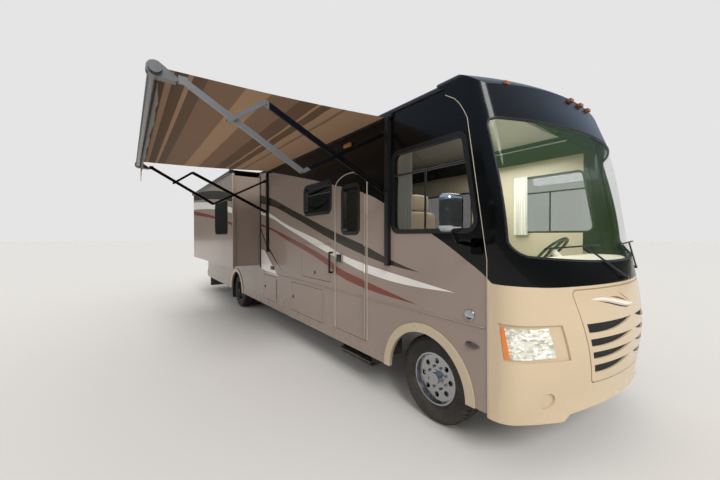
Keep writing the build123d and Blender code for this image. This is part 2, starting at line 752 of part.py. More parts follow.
with BuildPart() as leaf_springs:
    for side in (-1, 1):
        for axle_x, reach, seat_z in ((0, 620, 400), (rear_axle_x, 760, tyre_r + 62)):
            y0 = side * (rail_y - 38)
            y1 = side * (rail_y + 38)
            block(axle_x - 120, axle_x + 120, y0, y1, seat_z + seat_gap, seat_z + 60)
            for end in (-1, 1):
                beam((axle_x + end * 100, side * rail_y, seat_z + 30), (axle_x + end * reach, side * rail_y, 560), 76, 30)
                block(axle_x + end * reach - 25, axle_x + end * reach + 25, y0, y1, 540, rail_bottom_z - seat_gap)
keep("leaf_springs", leaf_springs.part)

exhaust_y = 260
exhaust_z = 560
with BuildPart() as tanks_and_exhaust:
    rod((60 - seat_gap, exhaust_y, exhaust_z), (-2400, exhaust_y, exhaust_z), 40)
    rod((-2400, exhaust_y, exhaust_z), (-3300, exhaust_y, exhaust_z), 110)
    rod((-3300, exhaust_y, exhaust_z), (-5500, exhaust_y, exhaust_z), 40)
    for hanger_x in (-1200, -4900):
        block(hanger_x - 15, hanger_x + 15, exhaust_y + 10, mount_y, exhaust_z + 15, rail_bottom_z + 40)
    block(-8900, -7300, -380, 380, 430, rail_bottom_z + 100 - seat_gap)
    block(-5500, -4700, 480, 1150, 520, rail_top_z - seat_gap)
keep("tanks_and_exhaust", tanks_and_exhaust.part)

# Compartments behind the side doors, each of flat panels, open at the side and closed behind
tray_wall = 15
tray_depth = 640
cabinet_depth = 300
tray_lap = 30
tray_drop = 60
with BuildPart() as storage_trays:
    for door_side, x0, x1, z0, z1, hinge in side_doors.values():
        below_floor = z0 < belt_z
        wall_in = skirt if below_floor else wall
        depth = tray_depth if below_floor else cabinet_depth
        low_z = z0 - tray_drop if below_floor else z0 - tray_lap
        high_z = rail_top_z - seat_gap if below_floor else z1 + tray_lap
        mouth_y = door_side * (half_width - wall_in - seat_gap)
        behind_y = door_side * (half_width - wall_in - depth)
        back_y = behind_y + door_side * tray_wall
        end_x0 = x0 - tray_lap
        end_x1 = x1 + tray_lap
        block(end_x0, end_x1, mouth_y, behind_y, low_z, low_z + tray_wall)
        block(end_x0, end_x1, mouth_y, behind_y, high_z - tray_wall, high_z)
        low_in = low_z + tray_wall + seat_gap
        high_in = high_z - tray_wall - seat_gap
        block(end_x0, end_x1, back_y, behind_y, low_in, high_in)
        for end_x in (end_x0, end_x1 - tray_wall):
            block(end_x, end_x + tray_wall, mouth_y, back_y + door_side * seat_gap, low_in, high_in)
keep("storage_trays", storage_trays.part)

hinge_r = 7
hinge_out = hinge_r - 0.5
hinge_in = hinge_r + 1
door_clear = 6
lock_in = 90
lock_r = 24
lock_proud = 7
for name, (door_side, x0, x1, z0, z1, hinge) in side_doors.items():
    thick = (skirt if z0 < belt_z else wall) - door_clear
    hinge_face_y = door_side * (half_width + hinge_out)
    with BuildPart() as side_door:
        side_panel(door_side, half_width, thick, x0, x1, z0, z1, 20)
        if hinge == "top":
            rod((x0 + 60, hinge_face_y, z1 - hinge_in), (x1 - 60, hinge_face_y, z1 - hinge_in), hinge_r)
        else:
            rod((x1 - hinge_in, hinge_face_y, z0 + 40), (x1 - hinge_in, hinge_face_y, z1 - 40), hinge_r)
        lock_x, lock_z = ((x0 + x1) / 2, z0 + lock_in) if hinge == "top" else (x0 + lock_in, (z0 + z1) / 2)
        side_disc(door_side, half_width + lock_proud, lock_proud + 1, lock_x, lock_z, lock_r)
    keep(name, side_door.part)

# Entry door with its window, full-length hinge tube and paddle latch
door_window = (-1442, -1024, 1838, 2483, 90, 0)
hinge_tube_r = 14
hinge_x = entry[1] - hinge_tube_r
hinge_y = -half_width - hinge_tube_r + 2
latch_proud = 16
door_latch = (-1535, -1398, 1473, 1595)
with BuildPart() as entry_door:
    arched_door(-1, half_width, wall - 6, 0, Mode.ADD)
    window_cut(-1, door_window)
    rod((hinge_x, hinge_y, entry[2] + 20), (hinge_x, hinge_y, entry[3] - entry_corner - 20), hinge_tube_r)
    side_panel(-1, half_width + latch_proud, latch_proud + 1, *door_latch, 24)
keep("entry_door", entry_door.part)

def window_frame(side, window):
    """A flanged frame that clamps the wall's opening."""
    window_shape(side, half_width + frame_proud, frame_proud - seat_gap, window, 0)
    window_shape(side, half_width + 0.5, wall, window, frame_lap + 1)
    window_shape(side, half_width + frame_proud + 1, wall + 20, window, frame_width, mode=Mode.SUBTRACT)


def window_pane(side, window):
    window_shape(side, half_width - 10, glass_thick, window, frame_width + seat_gap)


with BuildPart() as door_window_frame:
    window_frame(-1, door_window)
keep("door_window_frame", door_window_frame.part)
with BuildPart() as door_glass:
    window_pane(-1, door_window)
keep("door_glass", door_glass.part)
with BuildPart() as window_frames:
    for side in (-1, 1):
        for window in side_windows[side]:
            window_frame(side, window)
keep("window_frames", window_frames.part)
with BuildPart() as side_glass:
    for side in (-1, 1):
        for window in side_windows[side]:
            window_pane(side, window)
keep("side_glass", side_glass.part)

with BuildPart() as grab_handle:
    rod((-1661, -half_width - 55, 1330), (-1661, -half_width - 55, 1600), 13)
    for end_z in (1330, 1600):
        rod((-1661, -half_width - 55, end_z), (-1661, -half_width - seat_gap, end_z), 13)
        with Locations((-1661, -half_width - 55, end_z)):
            Sphere(13)
keep("grab_handle", grab_handle.part)

# Entry step, folded away under the door
with BuildPart() as entry_step:
    block(entry[0], entry[1], -1225, -950, step_top_z - 25, step_top_z)
    block(entry[0] + 20, entry[1] - 20, -1195, -900, step_top_z - 75, step_top_z - 53)
    for x0 in (entry[0] + 30, entry[1] - 60):
        block(x0, x0 + 30, -1120, -960, step_top_z - 60, step_top_z - 10)
keep("entry_step", entry_step.part)

# Slide-out room: a box with its outer fascia lapping the wall's opening
slide_face_y = half_width + slide_out
slide_inner_y = half_width - wall - 60
slide_window = (-6150, -4950, 1850, 2600, 110, 0)
slide_window_deep = 12
with BuildPart() as slide_room:
    x0, x1, z0, z1, corner = slide
    side_panel(-1, slide_face_y, slide_wall, x0, x1, z0, z1, 0)
    window_shape(-1, slide_face_y + 1, slide_window_deep + 1, slide_window, 0, mode=Mode.SUBTRACT)
    side_panel(-1, slide_face_y - slide_wall + 1, slide_face_y - slide_wall - slide_inner_y, x0 + slide_lap, x1 - slide_lap,
               z0 + slide_lap, z1 - slide_lap, 0)
    side_panel(-1, slide_face_y - slide_wall, 1200, x0 + slide_lap + slide_wall, x1 - slide_lap - slide_wall,
               z0 + slide_lap + slide_wall, z1 - slide_lap - slide_wall, 0, mode=Mode.SUBTRACT)
keep("slide_room", slide_room.part)

with BuildPart() as slide_topper:
    rod((slide[0] + 20, -topper_y, topper_z), (slide[1] - 20, -topper_y, topper_z), topper_r)
    for end_x in (slide[0] + 20, slide[1] - 50):
        block(end_x, end_x + 30, -topper_y - topper_r - 4, -topper_y + topper_r + 4, slide[3] + seat_gap, topper_top_z + 4)
keep("slide_topper", slide_topper.part)
with BuildPart() as topper_fabric:
    with BuildSketch(Plane.YZ.offset(slide[0] + 60)) as topper_section:
        with BuildLine():
            Polyline((-half_width - topper_rail - seat_gap, topper_top_z + 8), (-topper_y, topper_top_z + 0.4),
                     (-topper_y, topper_top_z + 3.4), (-half_width - topper_rail - seat_gap, topper_top_z + 11),
                     close=True)
        make_face()
    extrude(amount=slide[1] - slide[0] - 120)
keep("topper_fabric", topper_fabric.part)

# Awning: wall channels, a pair of folding arms, the roller with its end caps, and the fabric
awning_xs = (-494, -4112)
awning_rail_half = 28
layer = 11
ear_in = 22
rail_face = 45
wall_pivot_low_z = 2310
wall_pivot_high_z = 2900
pivot_y = -half_width - rail_face - 30
with BuildPart() as awning_channels:
    for rail_x in awning_xs:
        block(rail_x - awning_rail_half, rail_x + awning_rail_half, -half_width - rail_face, -half_width - seat_gap,
              1510, 3090)
        for pivot_z in (wall_pivot_low_z, wall_pivot_high_z):
            for ear in (-1, 1):
                block(rail_x + ear * ear_in, rail_x + ear * (ear_in + 6), pivot_y - 22, -half_width - rail_face + 1,
                      pivot_z - 28, pivot_z + 28)
    block(awning_xs[1] - 60, awning_xs[0] + 60, -half_width - 28, -half_width - seat_gap, 3078, 3118)
    block(slide[0] + 40, slide[1] - 40, -half_width - topper_rail, -half_width - seat_gap, 3085, 3120)
    block(slide[0] + 40, slide[1] - 40, -half_width - topper_rail, -half_width - 1 - seat_gap, 3110, topper_top_z + 14)
keep("awning_channels", awning_channels.part)

# Arm points in the plane of the arms, as y and z
roller_y = -3400
roller_z = 2960
roller_r = 40
end_cap_r = 52
end_cap_half = 35
tail_y = -3275
tail_z = 2918
tail_r = 16
elbow = (-2300, 2400)
lower_pivot = (pivot_y, wall_pivot_low_z)
upper_pivot = (pivot_y, wall_pivot_high_z)
outer_joint = (-2630, 2925)
link_joint = (-2920, 2713)
head_y = tail_y + tail_r
with BuildPart() as awning_arms:
    for arm_x in awning_xs:
        block(arm_x - layer - 10, arm_x - layer + 10, head_y + seat_gap, head_y + 60, roller_z - 50, roller_z + 4)
        beam((arm_x - layer, head_y + 30, roller_z - 23), (arm_x - layer, *elbow), 20, 46)
        beam((arm_x - layer, *lower_pivot), (arm_x - layer, *outer_joint), 20, 50)
        beam((arm_x + layer, *elbow), (arm_x + layer, *upper_pivot), 20, 34)
        beam((arm_x + layer, *outer_joint), (arm_x + layer, *link_joint), 20, 34)
        for y, z in (elbow, outer_joint, link_joint, lower_pivot, upper_pivot):
            rod((arm_x - ear_in + seat_gap, y, z), (arm_x + ear_in - seat_gap, y, z), 14)
keep("awning_arms", awning_arms.part)

with BuildPart() as awning_roller:
    rod((awning_xs[1] - 60, roller_y, roller_z), (awning_xs[0] + 60, roller_y, roller_z), roller_r)
    for arm_x in awning_xs:
        with BuildSketch(Plane.YZ.offset(arm_x - end_cap_half)) as end_cap:
            with BuildLine():
                back_turn = math.atan2(tail_z - roller_z, tail_y - roller_y)
                spread = math.acos((end_cap_r - tail_r) / math.hypot(tail_y - roller_y, tail_z - roller_z))
                rounds = []
                for turn in (back_turn + spread, back_turn - spread):
                    rounds.append(((roller_y + end_cap_r * math.cos(turn), roller_z + end_cap_r * math.sin(turn)),
                                   (tail_y + tail_r * math.cos(turn), tail_z + tail_r * math.sin(turn))))
                (top, top_tail), (low, low_tail) = rounds
                ThreePointArc(top, (roller_y - end_cap_r * math.cos(back_turn),
                                    roller_z - end_cap_r * math.sin(back_turn)), low)
                Line(low, low_tail)
                ThreePointArc(low_tail, (tail_y + tail_r * math.cos(back_turn),
                                         tail_z + tail_r * math.sin(back_turn)), top_tail)
                Line(top_tail, top)
            make_face()
        extrude(end_cap.sketch, amount=2 * end_cap_half)
keep("awning_roller", awning_roller.part)

with BuildPart() as awning_fabric:
    with BuildSketch(Plane.YZ.offset(awning_xs[1] + 45)) as fabric_section:
        with BuildLine():
            Polyline((-half_width - 28.3, 3098), (roller_y + 10, roller_z + roller_r + 1),
                     (roller_y + 10, roller_z + roller_r + 7), (-half_width - 28.3, 3104), close=True)
        make_face()
    extrude(amount=awning_xs[0] - awning_xs[1] - 90)
keep("awning_fabric", awning_fabric.part)

# Cab inside
wheel_centre = (330, 640, 1640)
wheel_tilt = (-0.7071, 0, 0.7071)
column_start = (wheel_centre[0] + 0.2, wheel_centre[1], wheel_centre[2] - 0.2)
column_end = (wheel_centre[0] + 230, wheel_centre[1], wheel_centre[2] - 230)
with BuildPart() as dashboard:
    add(cap_lining)
    block(-200, 520, -2000, 2000, 0, 4000, mode=Mode.SUBTRACT)
    block(-200, 2000, -2000, 2000, 0, 1330, mode=Mode.SUBTRACT)
    block(-200, 2000, -2000, 2000, 1600, 4000, mode=Mode.SUBTRACT)
    block(-100, 525, -330, 330, floor_top_z + seat_gap, 1420)
    rod(column_start, column_end, 38)
keep("dashboard", dashboard.part)

with BuildPart() as steering_wheel:
    with BuildSketch(Plane(origin=wheel_centre, z_dir=wheel_tilt)) as wheel_ring:
        Circle(220)
        Circle(190, mode=Mode.SUBTRACT)
        Rectangle(400, 40)
        Circle(60)
    extrude(wheel_ring.sketch, amount=25)
keep("steering_wheel", steering_wheel.part)

with BuildPart() as cab_seats:
    for side in (-1, 1):
        cy = side * 700
        block(-560, -60, cy - 180, cy + 180, floor_top_z + seat_gap, 1330)
        block(-620, -60, cy - 270, cy + 270, 1330, 1490)
        block(-700, -560, cy - 260, cy + 260, 1330, 2120)
        block(-700, -580, cy - 150, cy + 150, 2140, 2320)
        block(-660, -620, cy - 60, cy + 60, 2100, 2160)
keep("cab_seats", cab_seats.part)

# Roof gear
with BuildPart() as roof_units:
    for unit_x in (-1600, -7600):
        with BuildSketch(Plane.XY.offset(crown_z - 30)) as unit_base:
            with Locations((unit_x, 0)):
                RectangleRounded(1000, 720, 120)
        with BuildSketch(Plane.XY.offset(3550)) as unit_top:
            with Locations((unit_x, 0)):
                RectangleRounded(820, 560, 90)
        loft([unit_base.sketch, unit_top.sketch])
    for vent_x, vent_y in ((-3400, 500), (-5200, 0), (-8900, -500)):
        block(vent_x - 220, vent_x + 220, vent_y - 220, vent_y + 220, crown_z - 60, 3320)
    add(body_prism(0), mode=Mode.SUBTRACT)
keep("roof_units", roof_units.part)

# Door mirrors on bent arms: head centre outwards from the side, its size, and the arm's base plate
mirror_x = 530
mirror_z = 2000
mirror_out = 315
mirror_width = 190
mirror_height = 285
mirror_deep = 92
mirror_arm_r = 17
mirror_base_z = 1750
with BuildPart() as mirrors:
    for side in (-1, 1):
        head_y = side * (half_width + mirror_out)
        with BuildPart(mode=Mode.PRIVATE) as head:
            with BuildSketch(Plane.YZ.offset(mirror_x)) as face:
                with Locations((head_y, mirror_z)):
                    RectangleRounded(mirror_width, mirror_height, 46)
            extrude(amount=mirror_deep)
            fillet(head.faces().sort_by(Axis.X)[-1].edges(), 38)
        add(head.part)
        arm_x = mirror_x + mirror_deep / 2
        bend = (arm_x, head_y - side * 70, mirror_base_z + 30)
        rod((arm_x, head_y, mirror_z - mirror_height / 2 + 20), bend, mirror_arm_r)
        rod(bend, (arm_x, side * (half_width + 10), mirror_base_z), mirror_arm_r)
        side_panel(side, half_width + 14, 14 - seat_gap, arm_x - 50, arm_x + 50, mirror_base_z - 70, mirror_base_z + 60, 20)
keep("mirrors", mirrors.part)

# Two wipers that sweep the same way: pivots, and the arm's and blade's ends measured from each pivot
wiper_pivots = ((-50, 1470), (960, 1490))
blade_ends = ((-985, 262), (-360, 284))
blade_share = 0.7
wiper_lift = 34
blade_lift = 30
with BuildPart() as wipers:
    for pivot_y, pivot_z in wiper_pivots:
        pivot_x = cap_face_x(pivot_y, pivot_z)
        rod((pivot_x - 60, pivot_y, pivot_z), (pivot_x + wiper_lift + 8, pivot_y, pivot_z), 16)
        blade = [(cap_face_x(pivot_y + y, pivot_z + z) + blade_lift, pivot_y + y, pivot_z + z) for y, z in blade_ends]
        rod(*blade, 7)
        arm_end = [low + blade_share * (high - low) for low, high in zip(*blade)]
        rod((pivot_x + wiper_lift, pivot_y, pivot_z), arm_end, 8)
    add(shell_outer, mode=Mode.SUBTRACT)
keep("wipers", wipers.part)

with BuildPart() as tail_lamps:
    for side in (-1, 1):
        block(rear_x - 14, rear_x - seat_gap, side * 980, side * 1110, 900, 1500)
keep("tail_lamps", tail_lamps.part)

marker_z = 3092
marker_proud = 14
marker_share = (marker_z - brow_z) / brow_rise
marker_r = brow_r - brow_depth * (1 - math.sqrt(1 - marker_share**2))
with BuildPart() as marker_lamps:
    for lamp_y in (-1010, -200, 0, 200, 1010):
        lamp_x = brow_x - brow_r + math.sqrt(marker_r**2 - lamp_y**2)
        block(
            lamp_x - 100,
            lamp_x + marker_proud,
            lamp_y - 32,
            lamp_y + 32,
            marker_z - 13,
            marker_z + 13,
        )
    add(shell_outer, mode=Mode.SUBTRACT)
keep("marker_lamps", marker_lamps.part)

ladder_x = rear_x - 140
with BuildPart() as ladder:
    for rail in (500, 860):
        rod((ladder_x, rail, 900), (ladder_x, rail, 3330), 14)
        for foot_z in (950, 2000, 3050):
            rod((ladder_x, rail, foot_z), (rear_x - seat_gap, rail, foot_z), 11)
    for rung in range(8):
        rod((ladder_x, 500, 1050 + 300 * rung), (ladder_x, 860, 1050 + 300 * rung), 12)
keep("ladder", ladder.part)

hitch_x = rear_x - 60
hitch_z = 385
hitch_half = 32
socket_half = 25.5
hitch_pin_x = hitch_x + 65
hitch_pin_r = 8
with BuildPart() as hitch_receiver:
    block(hitch_x, rear_x + 280, -hitch_half, hitch_half, hitch_z - hitch_half, hitch_z + hitch_half)
    block(rear_x + 210, rear_x + 280, -rail_y - 30, rail_y + 30, hitch_z - hitch_half, hitch_z + hitch_half)
    for side in (-1, 1):
        block(rear_x + 210, rear_x + 280, side * (rail_y - 30), side * (rail_y + 30), hitch_z, rail_bottom_z - seat_gap)
    block(hitch_x - 1, rear_x + 200, -socket_half, socket_half, hitch_z - socket_half, hitch_z + socket_half,
          mode=Mode.SUBTRACT)
    rod((hitch_pin_x, -60, hitch_z), (hitch_pin_x, 60, hitch_z), hitch_pin_r, mode=Mode.SUBTRACT)
keep("hitch_receiver", hitch_receiver.part)

with BuildPart() as mud_flaps:
    for side in (-1, 1):
        for flap_x, low_z in ((rear_axle_x - 620, 150), (rear_x + 250, 120)):
            block(flap_x, flap_x + 8, side * 680, side * 1230, low_z, floor_top_z - floor_thick - seat_gap)
keep("mud_flaps", mud_flaps.part)

# The origin goes under the middle of the whole object
boxes = [solid.bounding_box() for solid in parts.values()]
middle_x = (min(box.min.X for box in boxes) + max(box.max.X for box in boxes)) / 2
middle_y = (min(box.min.Y for box in boxes) + max(box.max.Y for box in boxes)) / 2
low_z = min(box.min.Z for box in boxes)
origin_shift = (-middle_x, -middle_y, -low_z)

for name, solid in parts.items():
    placed = solid.moved(Location(origin_shift))
    placed.label = name
    export_step(placed, "parts/" + name + ".step")
print(len(parts), "pieces, shifted by", [round(v, 2) for v in origin_shift])
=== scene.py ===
# %% [markdown]
# # A motorhome with its awning out
# This lesson dresses a motorhome whose structure already exists as a set of CAD parts. The parts are
# loaded as a fixed frame, and every cell after that adds a finish or a piece that the eye looks for:
# the swept stripes, the striped awning cloth, lamps with something inside, tyres with a tread.

# %% Load the parts
import json
import math
import bmesh
import bpy
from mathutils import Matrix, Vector

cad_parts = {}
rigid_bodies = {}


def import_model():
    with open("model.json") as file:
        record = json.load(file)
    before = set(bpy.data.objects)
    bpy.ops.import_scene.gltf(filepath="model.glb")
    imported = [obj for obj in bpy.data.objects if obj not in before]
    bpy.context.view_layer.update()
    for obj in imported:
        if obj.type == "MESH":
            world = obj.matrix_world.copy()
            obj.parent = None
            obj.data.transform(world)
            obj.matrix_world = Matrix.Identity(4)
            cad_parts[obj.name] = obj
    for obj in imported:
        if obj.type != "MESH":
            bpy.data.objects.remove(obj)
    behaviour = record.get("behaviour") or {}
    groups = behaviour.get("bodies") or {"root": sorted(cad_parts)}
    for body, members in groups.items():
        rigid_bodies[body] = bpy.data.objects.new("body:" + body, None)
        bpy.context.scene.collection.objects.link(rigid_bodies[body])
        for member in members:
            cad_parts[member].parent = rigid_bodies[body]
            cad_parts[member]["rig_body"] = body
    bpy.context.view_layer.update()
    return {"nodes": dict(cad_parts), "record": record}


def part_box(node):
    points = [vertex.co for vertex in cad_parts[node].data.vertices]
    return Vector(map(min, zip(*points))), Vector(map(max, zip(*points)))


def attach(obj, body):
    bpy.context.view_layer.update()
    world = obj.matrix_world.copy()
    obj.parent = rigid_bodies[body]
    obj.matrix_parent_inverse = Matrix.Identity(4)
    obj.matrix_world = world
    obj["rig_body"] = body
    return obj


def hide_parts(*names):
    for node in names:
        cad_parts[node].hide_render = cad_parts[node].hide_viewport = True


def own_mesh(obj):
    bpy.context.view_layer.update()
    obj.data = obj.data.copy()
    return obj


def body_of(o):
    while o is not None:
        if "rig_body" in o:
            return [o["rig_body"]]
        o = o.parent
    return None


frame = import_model()

# %% [markdown]
# The parts' origin is under the middle of the whole vehicle. It is easier to think from the front axle,
# so the script works out where that axle is and keeps its own numbers in metres from there: x forward,
# y to the vehicle's left, z up from the ground.

# %% Where the front axle is
def centre(node):
    low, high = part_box(node)
    return (low + high) / 2

axle = Vector((centre("front_right_tyre").x, centre("fender_flares").y, 0))
half_width = abs(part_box("right_wall")[0].y - axle.y)
wheelbase = axle.x - centre("rear_right_tyres").x

def at(x, y, z):
    """A point given from the front axle, in the frame of the parts."""
    return Vector((x, y, z)) + axle

print("half width", round(half_width, 3), "wheelbase", round(wheelbase, 3))

# %% [markdown]
# Colours are written the way a paint picker shows them, from 0 to 255, and turned into the linear values
# that shaders want. The numbers in the function are those of the sRGB curve.

# %% Colours
def paint(red, green, blue):
    """A colour in linear values, with full alpha."""
    def linear(value):
        value = value / 255
        return value / 12.92 if value <= 0.04045 else ((value + 0.055) / 1.055) ** 2.4
    return (linear(red), linear(green), linear(blue), 1.0)

# The side's tan is the cap's paint made darker: painted shade, as the side stood out of the sun.
shaded_side_tan = paint(146, 131, 121)
cap_beige = paint(200, 180, 151)
gloss_black = paint(4, 5, 6)
lining_tan = paint(196, 186, 160)
stripe_olive = paint(50, 47, 38)
stripe_white = paint(226, 222, 216)
stripe_brick = paint(120, 62, 48)
warm_dust = paint(150, 134, 112)
print("side paint in linear values:", [round(value, 3) for value in shaded_side_tan[:3]])

# %% [markdown]
# A material is a tree of nodes. It could be wired in the editor, but a script makes the same tree each
# time. Some kinds of node come up again and again, so a small function adds each of them, fills its
# sockets and gives back its output.

# %% Helpers for shader nodes
def add_node(tree, kind, **settings):
    node = tree.nodes.new(kind)
    for name, value in settings.items():
        setattr(node, name, value)
    return node

def wire(tree, value, socket):
    """Link an output to a socket, or set the socket to a plain value."""
    if isinstance(value, bpy.types.NodeSocket):
        tree.links.new(value, socket)
    elif value is not None:
        socket.default_value = value

def maths(tree, operation, first, second=None, third=None, clamp=False):
    node = add_node(tree, "ShaderNodeMath", operation=operation, use_clamp=clamp)
    for index, value in enumerate((first, second, third)):
        wire(tree, value, node.inputs[index])
    return node.outputs[0]

def blend_colours(tree, factor, first, second):
    node = add_node(tree, "ShaderNodeMix", data_type="RGBA")
    wire(tree, factor, node.inputs["Factor"])
    wire(tree, first, node.inputs["A"])
    wire(tree, second, node.inputs["B"])
    return next(socket for socket in node.outputs if socket.type == "RGBA")

def remap(tree, value, low, high, to_low=0.0, to_high=1.0):
    node = add_node(tree, "ShaderNodeMapRange", clamp=True)
    for index, entry in enumerate((value, low, high, to_low, to_high)):
        wire(tree, entry, node.inputs[index])
    return node.outputs[0]

def noise(tree, vector, scale, detail=3.0, roughness=0.55):
    node = add_node(tree, "ShaderNodeTexNoise")
    wire(tree, vector, node.inputs["Vector"])
    node.inputs["Scale"].default_value = scale
    node.inputs["Detail"].default_value = detail
    node.inputs["Roughness"].default_value = roughness
    return node.outputs["Fac"]

def coordinates(tree, output="Object", shift=None):
    """X, Y and Z outputs of a Texture Coordinate output, moved by shift where one is given."""
    vector = add_node(tree, "ShaderNodeTexCoord").outputs[output]
    if shift is not None:
        moved = add_node(tree, "ShaderNodeMapping", vector_type="POINT")
        moved.inputs["Location"].default_value = tuple(shift)
        tree.links.new(vector, moved.inputs["Vector"])
        vector = moved.outputs[0]
    parts = add_node(tree, "ShaderNodeSeparateXYZ")
    tree.links.new(vector, parts.inputs[0])
    return parts.outputs

def vehicle_place(tree):
    """The place from the front axle, as X, Y and Z outputs."""
    return coordinates(tree, "Object", -axle)

def new_group(name, inputs, outputs):
    """An empty node group with typed, named sockets."""
    group = bpy.data.node_groups.new(name, "ShaderNodeTree")
    for label, kind, value in inputs:
        socket = group.interface.new_socket(label, in_out="INPUT", socket_type="NodeSocket" + kind)
        socket.default_value = value
    for label, kind in outputs:
        group.interface.new_socket(label, in_out="OUTPUT", socket_type="NodeSocket" + kind)
    return group, add_node(group, "NodeGroupInput"), add_node(group, "NodeGroupOutput")

def place_group(tree, group, **values):
    node = add_node(tree, "ShaderNodeGroup", node_tree=group)
    for label, value in values.items():
        wire(tree, value, node.inputs[label.replace("_", " ")])
    return node

# %% [markdown]
# Several finishes share the same small effects. Each effect is made once as a node group with named
# sockets and then placed in as many materials as need it. The first is a fine unevenness: paint, rubber
# and plastic are never equally smooth all over, and that is what breaks up their reflections.

# %% Group: fine unevenness
grain_group, get, put = new_group(
    "fine grain",
    (("Scale", "Float", 200.0), ("Roughness", "Float", 0.4), ("Spread", "Float", 0.1)),
    (("Roughness", "Float"), ("Height", "Float")))
where = add_node(grain_group, "ShaderNodeTexCoord").outputs["Object"]
fine = add_node(grain_group, "ShaderNodeTexNoise")
grain_group.links.new(where, fine.inputs["Vector"])
grain_group.links.new(get.outputs["Scale"], fine.inputs["Scale"])
fine.inputs["Detail"].default_value = 4.0
cloudy = noise(grain_group, where, scale=1.7, detail=2.0)
swing = maths(grain_group, "SUBTRACT", maths(grain_group, "ADD", fine.outputs["Fac"], cloudy), 1.0)
uneven = maths(grain_group, "MULTIPLY_ADD", swing, get.outputs["Spread"], get.outputs["Roughness"],
               clamp=True)
grain_group.links.new(uneven, put.inputs["Roughness"])
grain_group.links.new(fine.outputs["Fac"], put.inputs["Height"])
print("nodes in the grain group:", len(grain_group.nodes))

# %% [markdown]
# The second is a film of road dust. It lies in patches and is thickest low down, so a soft noise is
# multiplied by how near the ground the place is. Painting it by hand would suit one panel only.

# %% Group: road dust, thicker towards the ground
dust_group, get, put = new_group(
    "road dust",
    (("Colour", "Color", (0.5, 0.5, 0.5, 1)), ("Roughness", "Float", 0.4), ("Amount", "Float", 0.3),
     ("Top", "Float", 1.0)),
    (("Colour", "Color"), ("Roughness", "Float")))
where = add_node(dust_group, "ShaderNodeTexCoord").outputs["Object"]
share = maths(dust_group, "DIVIDE", coordinates(dust_group)["Z"], get.outputs["Top"])
low_down = maths(dust_group, "SUBTRACT", 1.0, share, clamp=True)
patch_noise = noise(dust_group, where, scale=5.0, detail=6.0, roughness=0.65)
patches = remap(dust_group, patch_noise, 0.3, 0.75)
patchy = maths(dust_group, "MULTIPLY", low_down, patches)
film = maths(dust_group, "MULTIPLY", patchy, get.outputs["Amount"])
tinted = blend_colours(dust_group, film, get.outputs["Colour"], warm_dust)
dust_group.links.new(tinted, put.inputs["Colour"])
dull = maths(dust_group, "MULTIPLY_ADD", film, 0.6, get.outputs["Roughness"], clamp=True)
dust_group.links.new(dull, put.inputs["Roughness"])
print("nodes in the dust group:", len(dust_group.nodes))

# %% [markdown]
# Most finishes are one Principled shader with its own plain values, plus the two groups above. One
# function makes that base, so that each material later says only what is special about it.

# %% A finish with grain and dust
def finish(name, colour, roughness, metallic=0.0, grain=200.0, spread=0.08, bump=0.0, dust=0.0,
           dust_top=1.2, pattern=None, **sockets):
    """A material. pattern(tree) may give a colour output that replaces the plain colour.

    grain is the scale of the unevenness, spread its share of the roughness and bump its depth in metres.
    dust is the film's share near the ground, and dust_top the height in metres where it ends.
    """
    material = bpy.data.materials.new(name)
    material.use_nodes = True
    tree = material.node_tree
    shader = tree.nodes["Principled BSDF"]
    shader.inputs["Metallic"].default_value = metallic
    for label, value in sockets.items():
        shader.inputs[label.replace("_", " ")].default_value = value
    fine = place_group(tree, grain_group, Scale=grain, Roughness=roughness, Spread=spread)
    shade = pattern(tree) if pattern else colour
    uneven = fine.outputs["Roughness"]
    if dust > 0:
        film = place_group(tree, dust_group, Colour=shade, Roughness=uneven, Amount=dust, Top=dust_top)
        shade = film.outputs["Colour"]
        uneven = film.outputs["Roughness"]
    wire(tree, shade, shader.inputs["Base Color"])
    wire(tree, uneven, shader.inputs["Roughness"])
    if bump > 0:
        relief = add_node(tree, "ShaderNodeBump")
        relief.inputs["Distance"].default_value = bump
        tree.links.new(fine.outputs["Height"], relief.inputs["Height"])
        tree.links.new(relief.outputs["Normal"], shader.inputs["Normal"])
    material.diffuse_color = colour
    return material

# %% [markdown]
# The stripes run the whole length of the body and cross doors, walls, skirts and the slide-out room.
# One pattern therefore reads the place on the body, not the panel: it looks up the edge height of each
# band at this distance from the front axle, and compares it with the height above the ground. Each edge
# is a short curve of points, as a sign painter would mark it with tape.

# %% The body's stripes
reach_back, reach_front = -10.5, 1.5
facing_share = 0.5

def edge_curve(tree, along, points, straight=False, reach=(reach_back, reach_front), heights=(0.0, 4.0)):
    """Height of a taped edge, in metres, at the share of the reach that along gives."""
    node = add_node(tree, "ShaderNodeFloatCurve")
    curve = node.mapping.curves[0]
    base, tall = heights[0], heights[1] - heights[0]
    spots = [((x - reach[0]) / (reach[1] - reach[0]), (z - base) / tall) for x, z in points]
    curve.points[0].location = spots[0]
    curve.points[1].location = spots[-1]
    for spot in spots[1:-1]:
        curve.points.new(*spot)
    for point in curve.points:
        point.handle_type = "VECTOR" if straight else "AUTO_CLAMPED"
    node.mapping.update()
    tree.links.new(along, node.inputs["Value"])
    return maths(tree, "ADD", maths(tree, "MULTIPLY", node.outputs[0], tall), base)

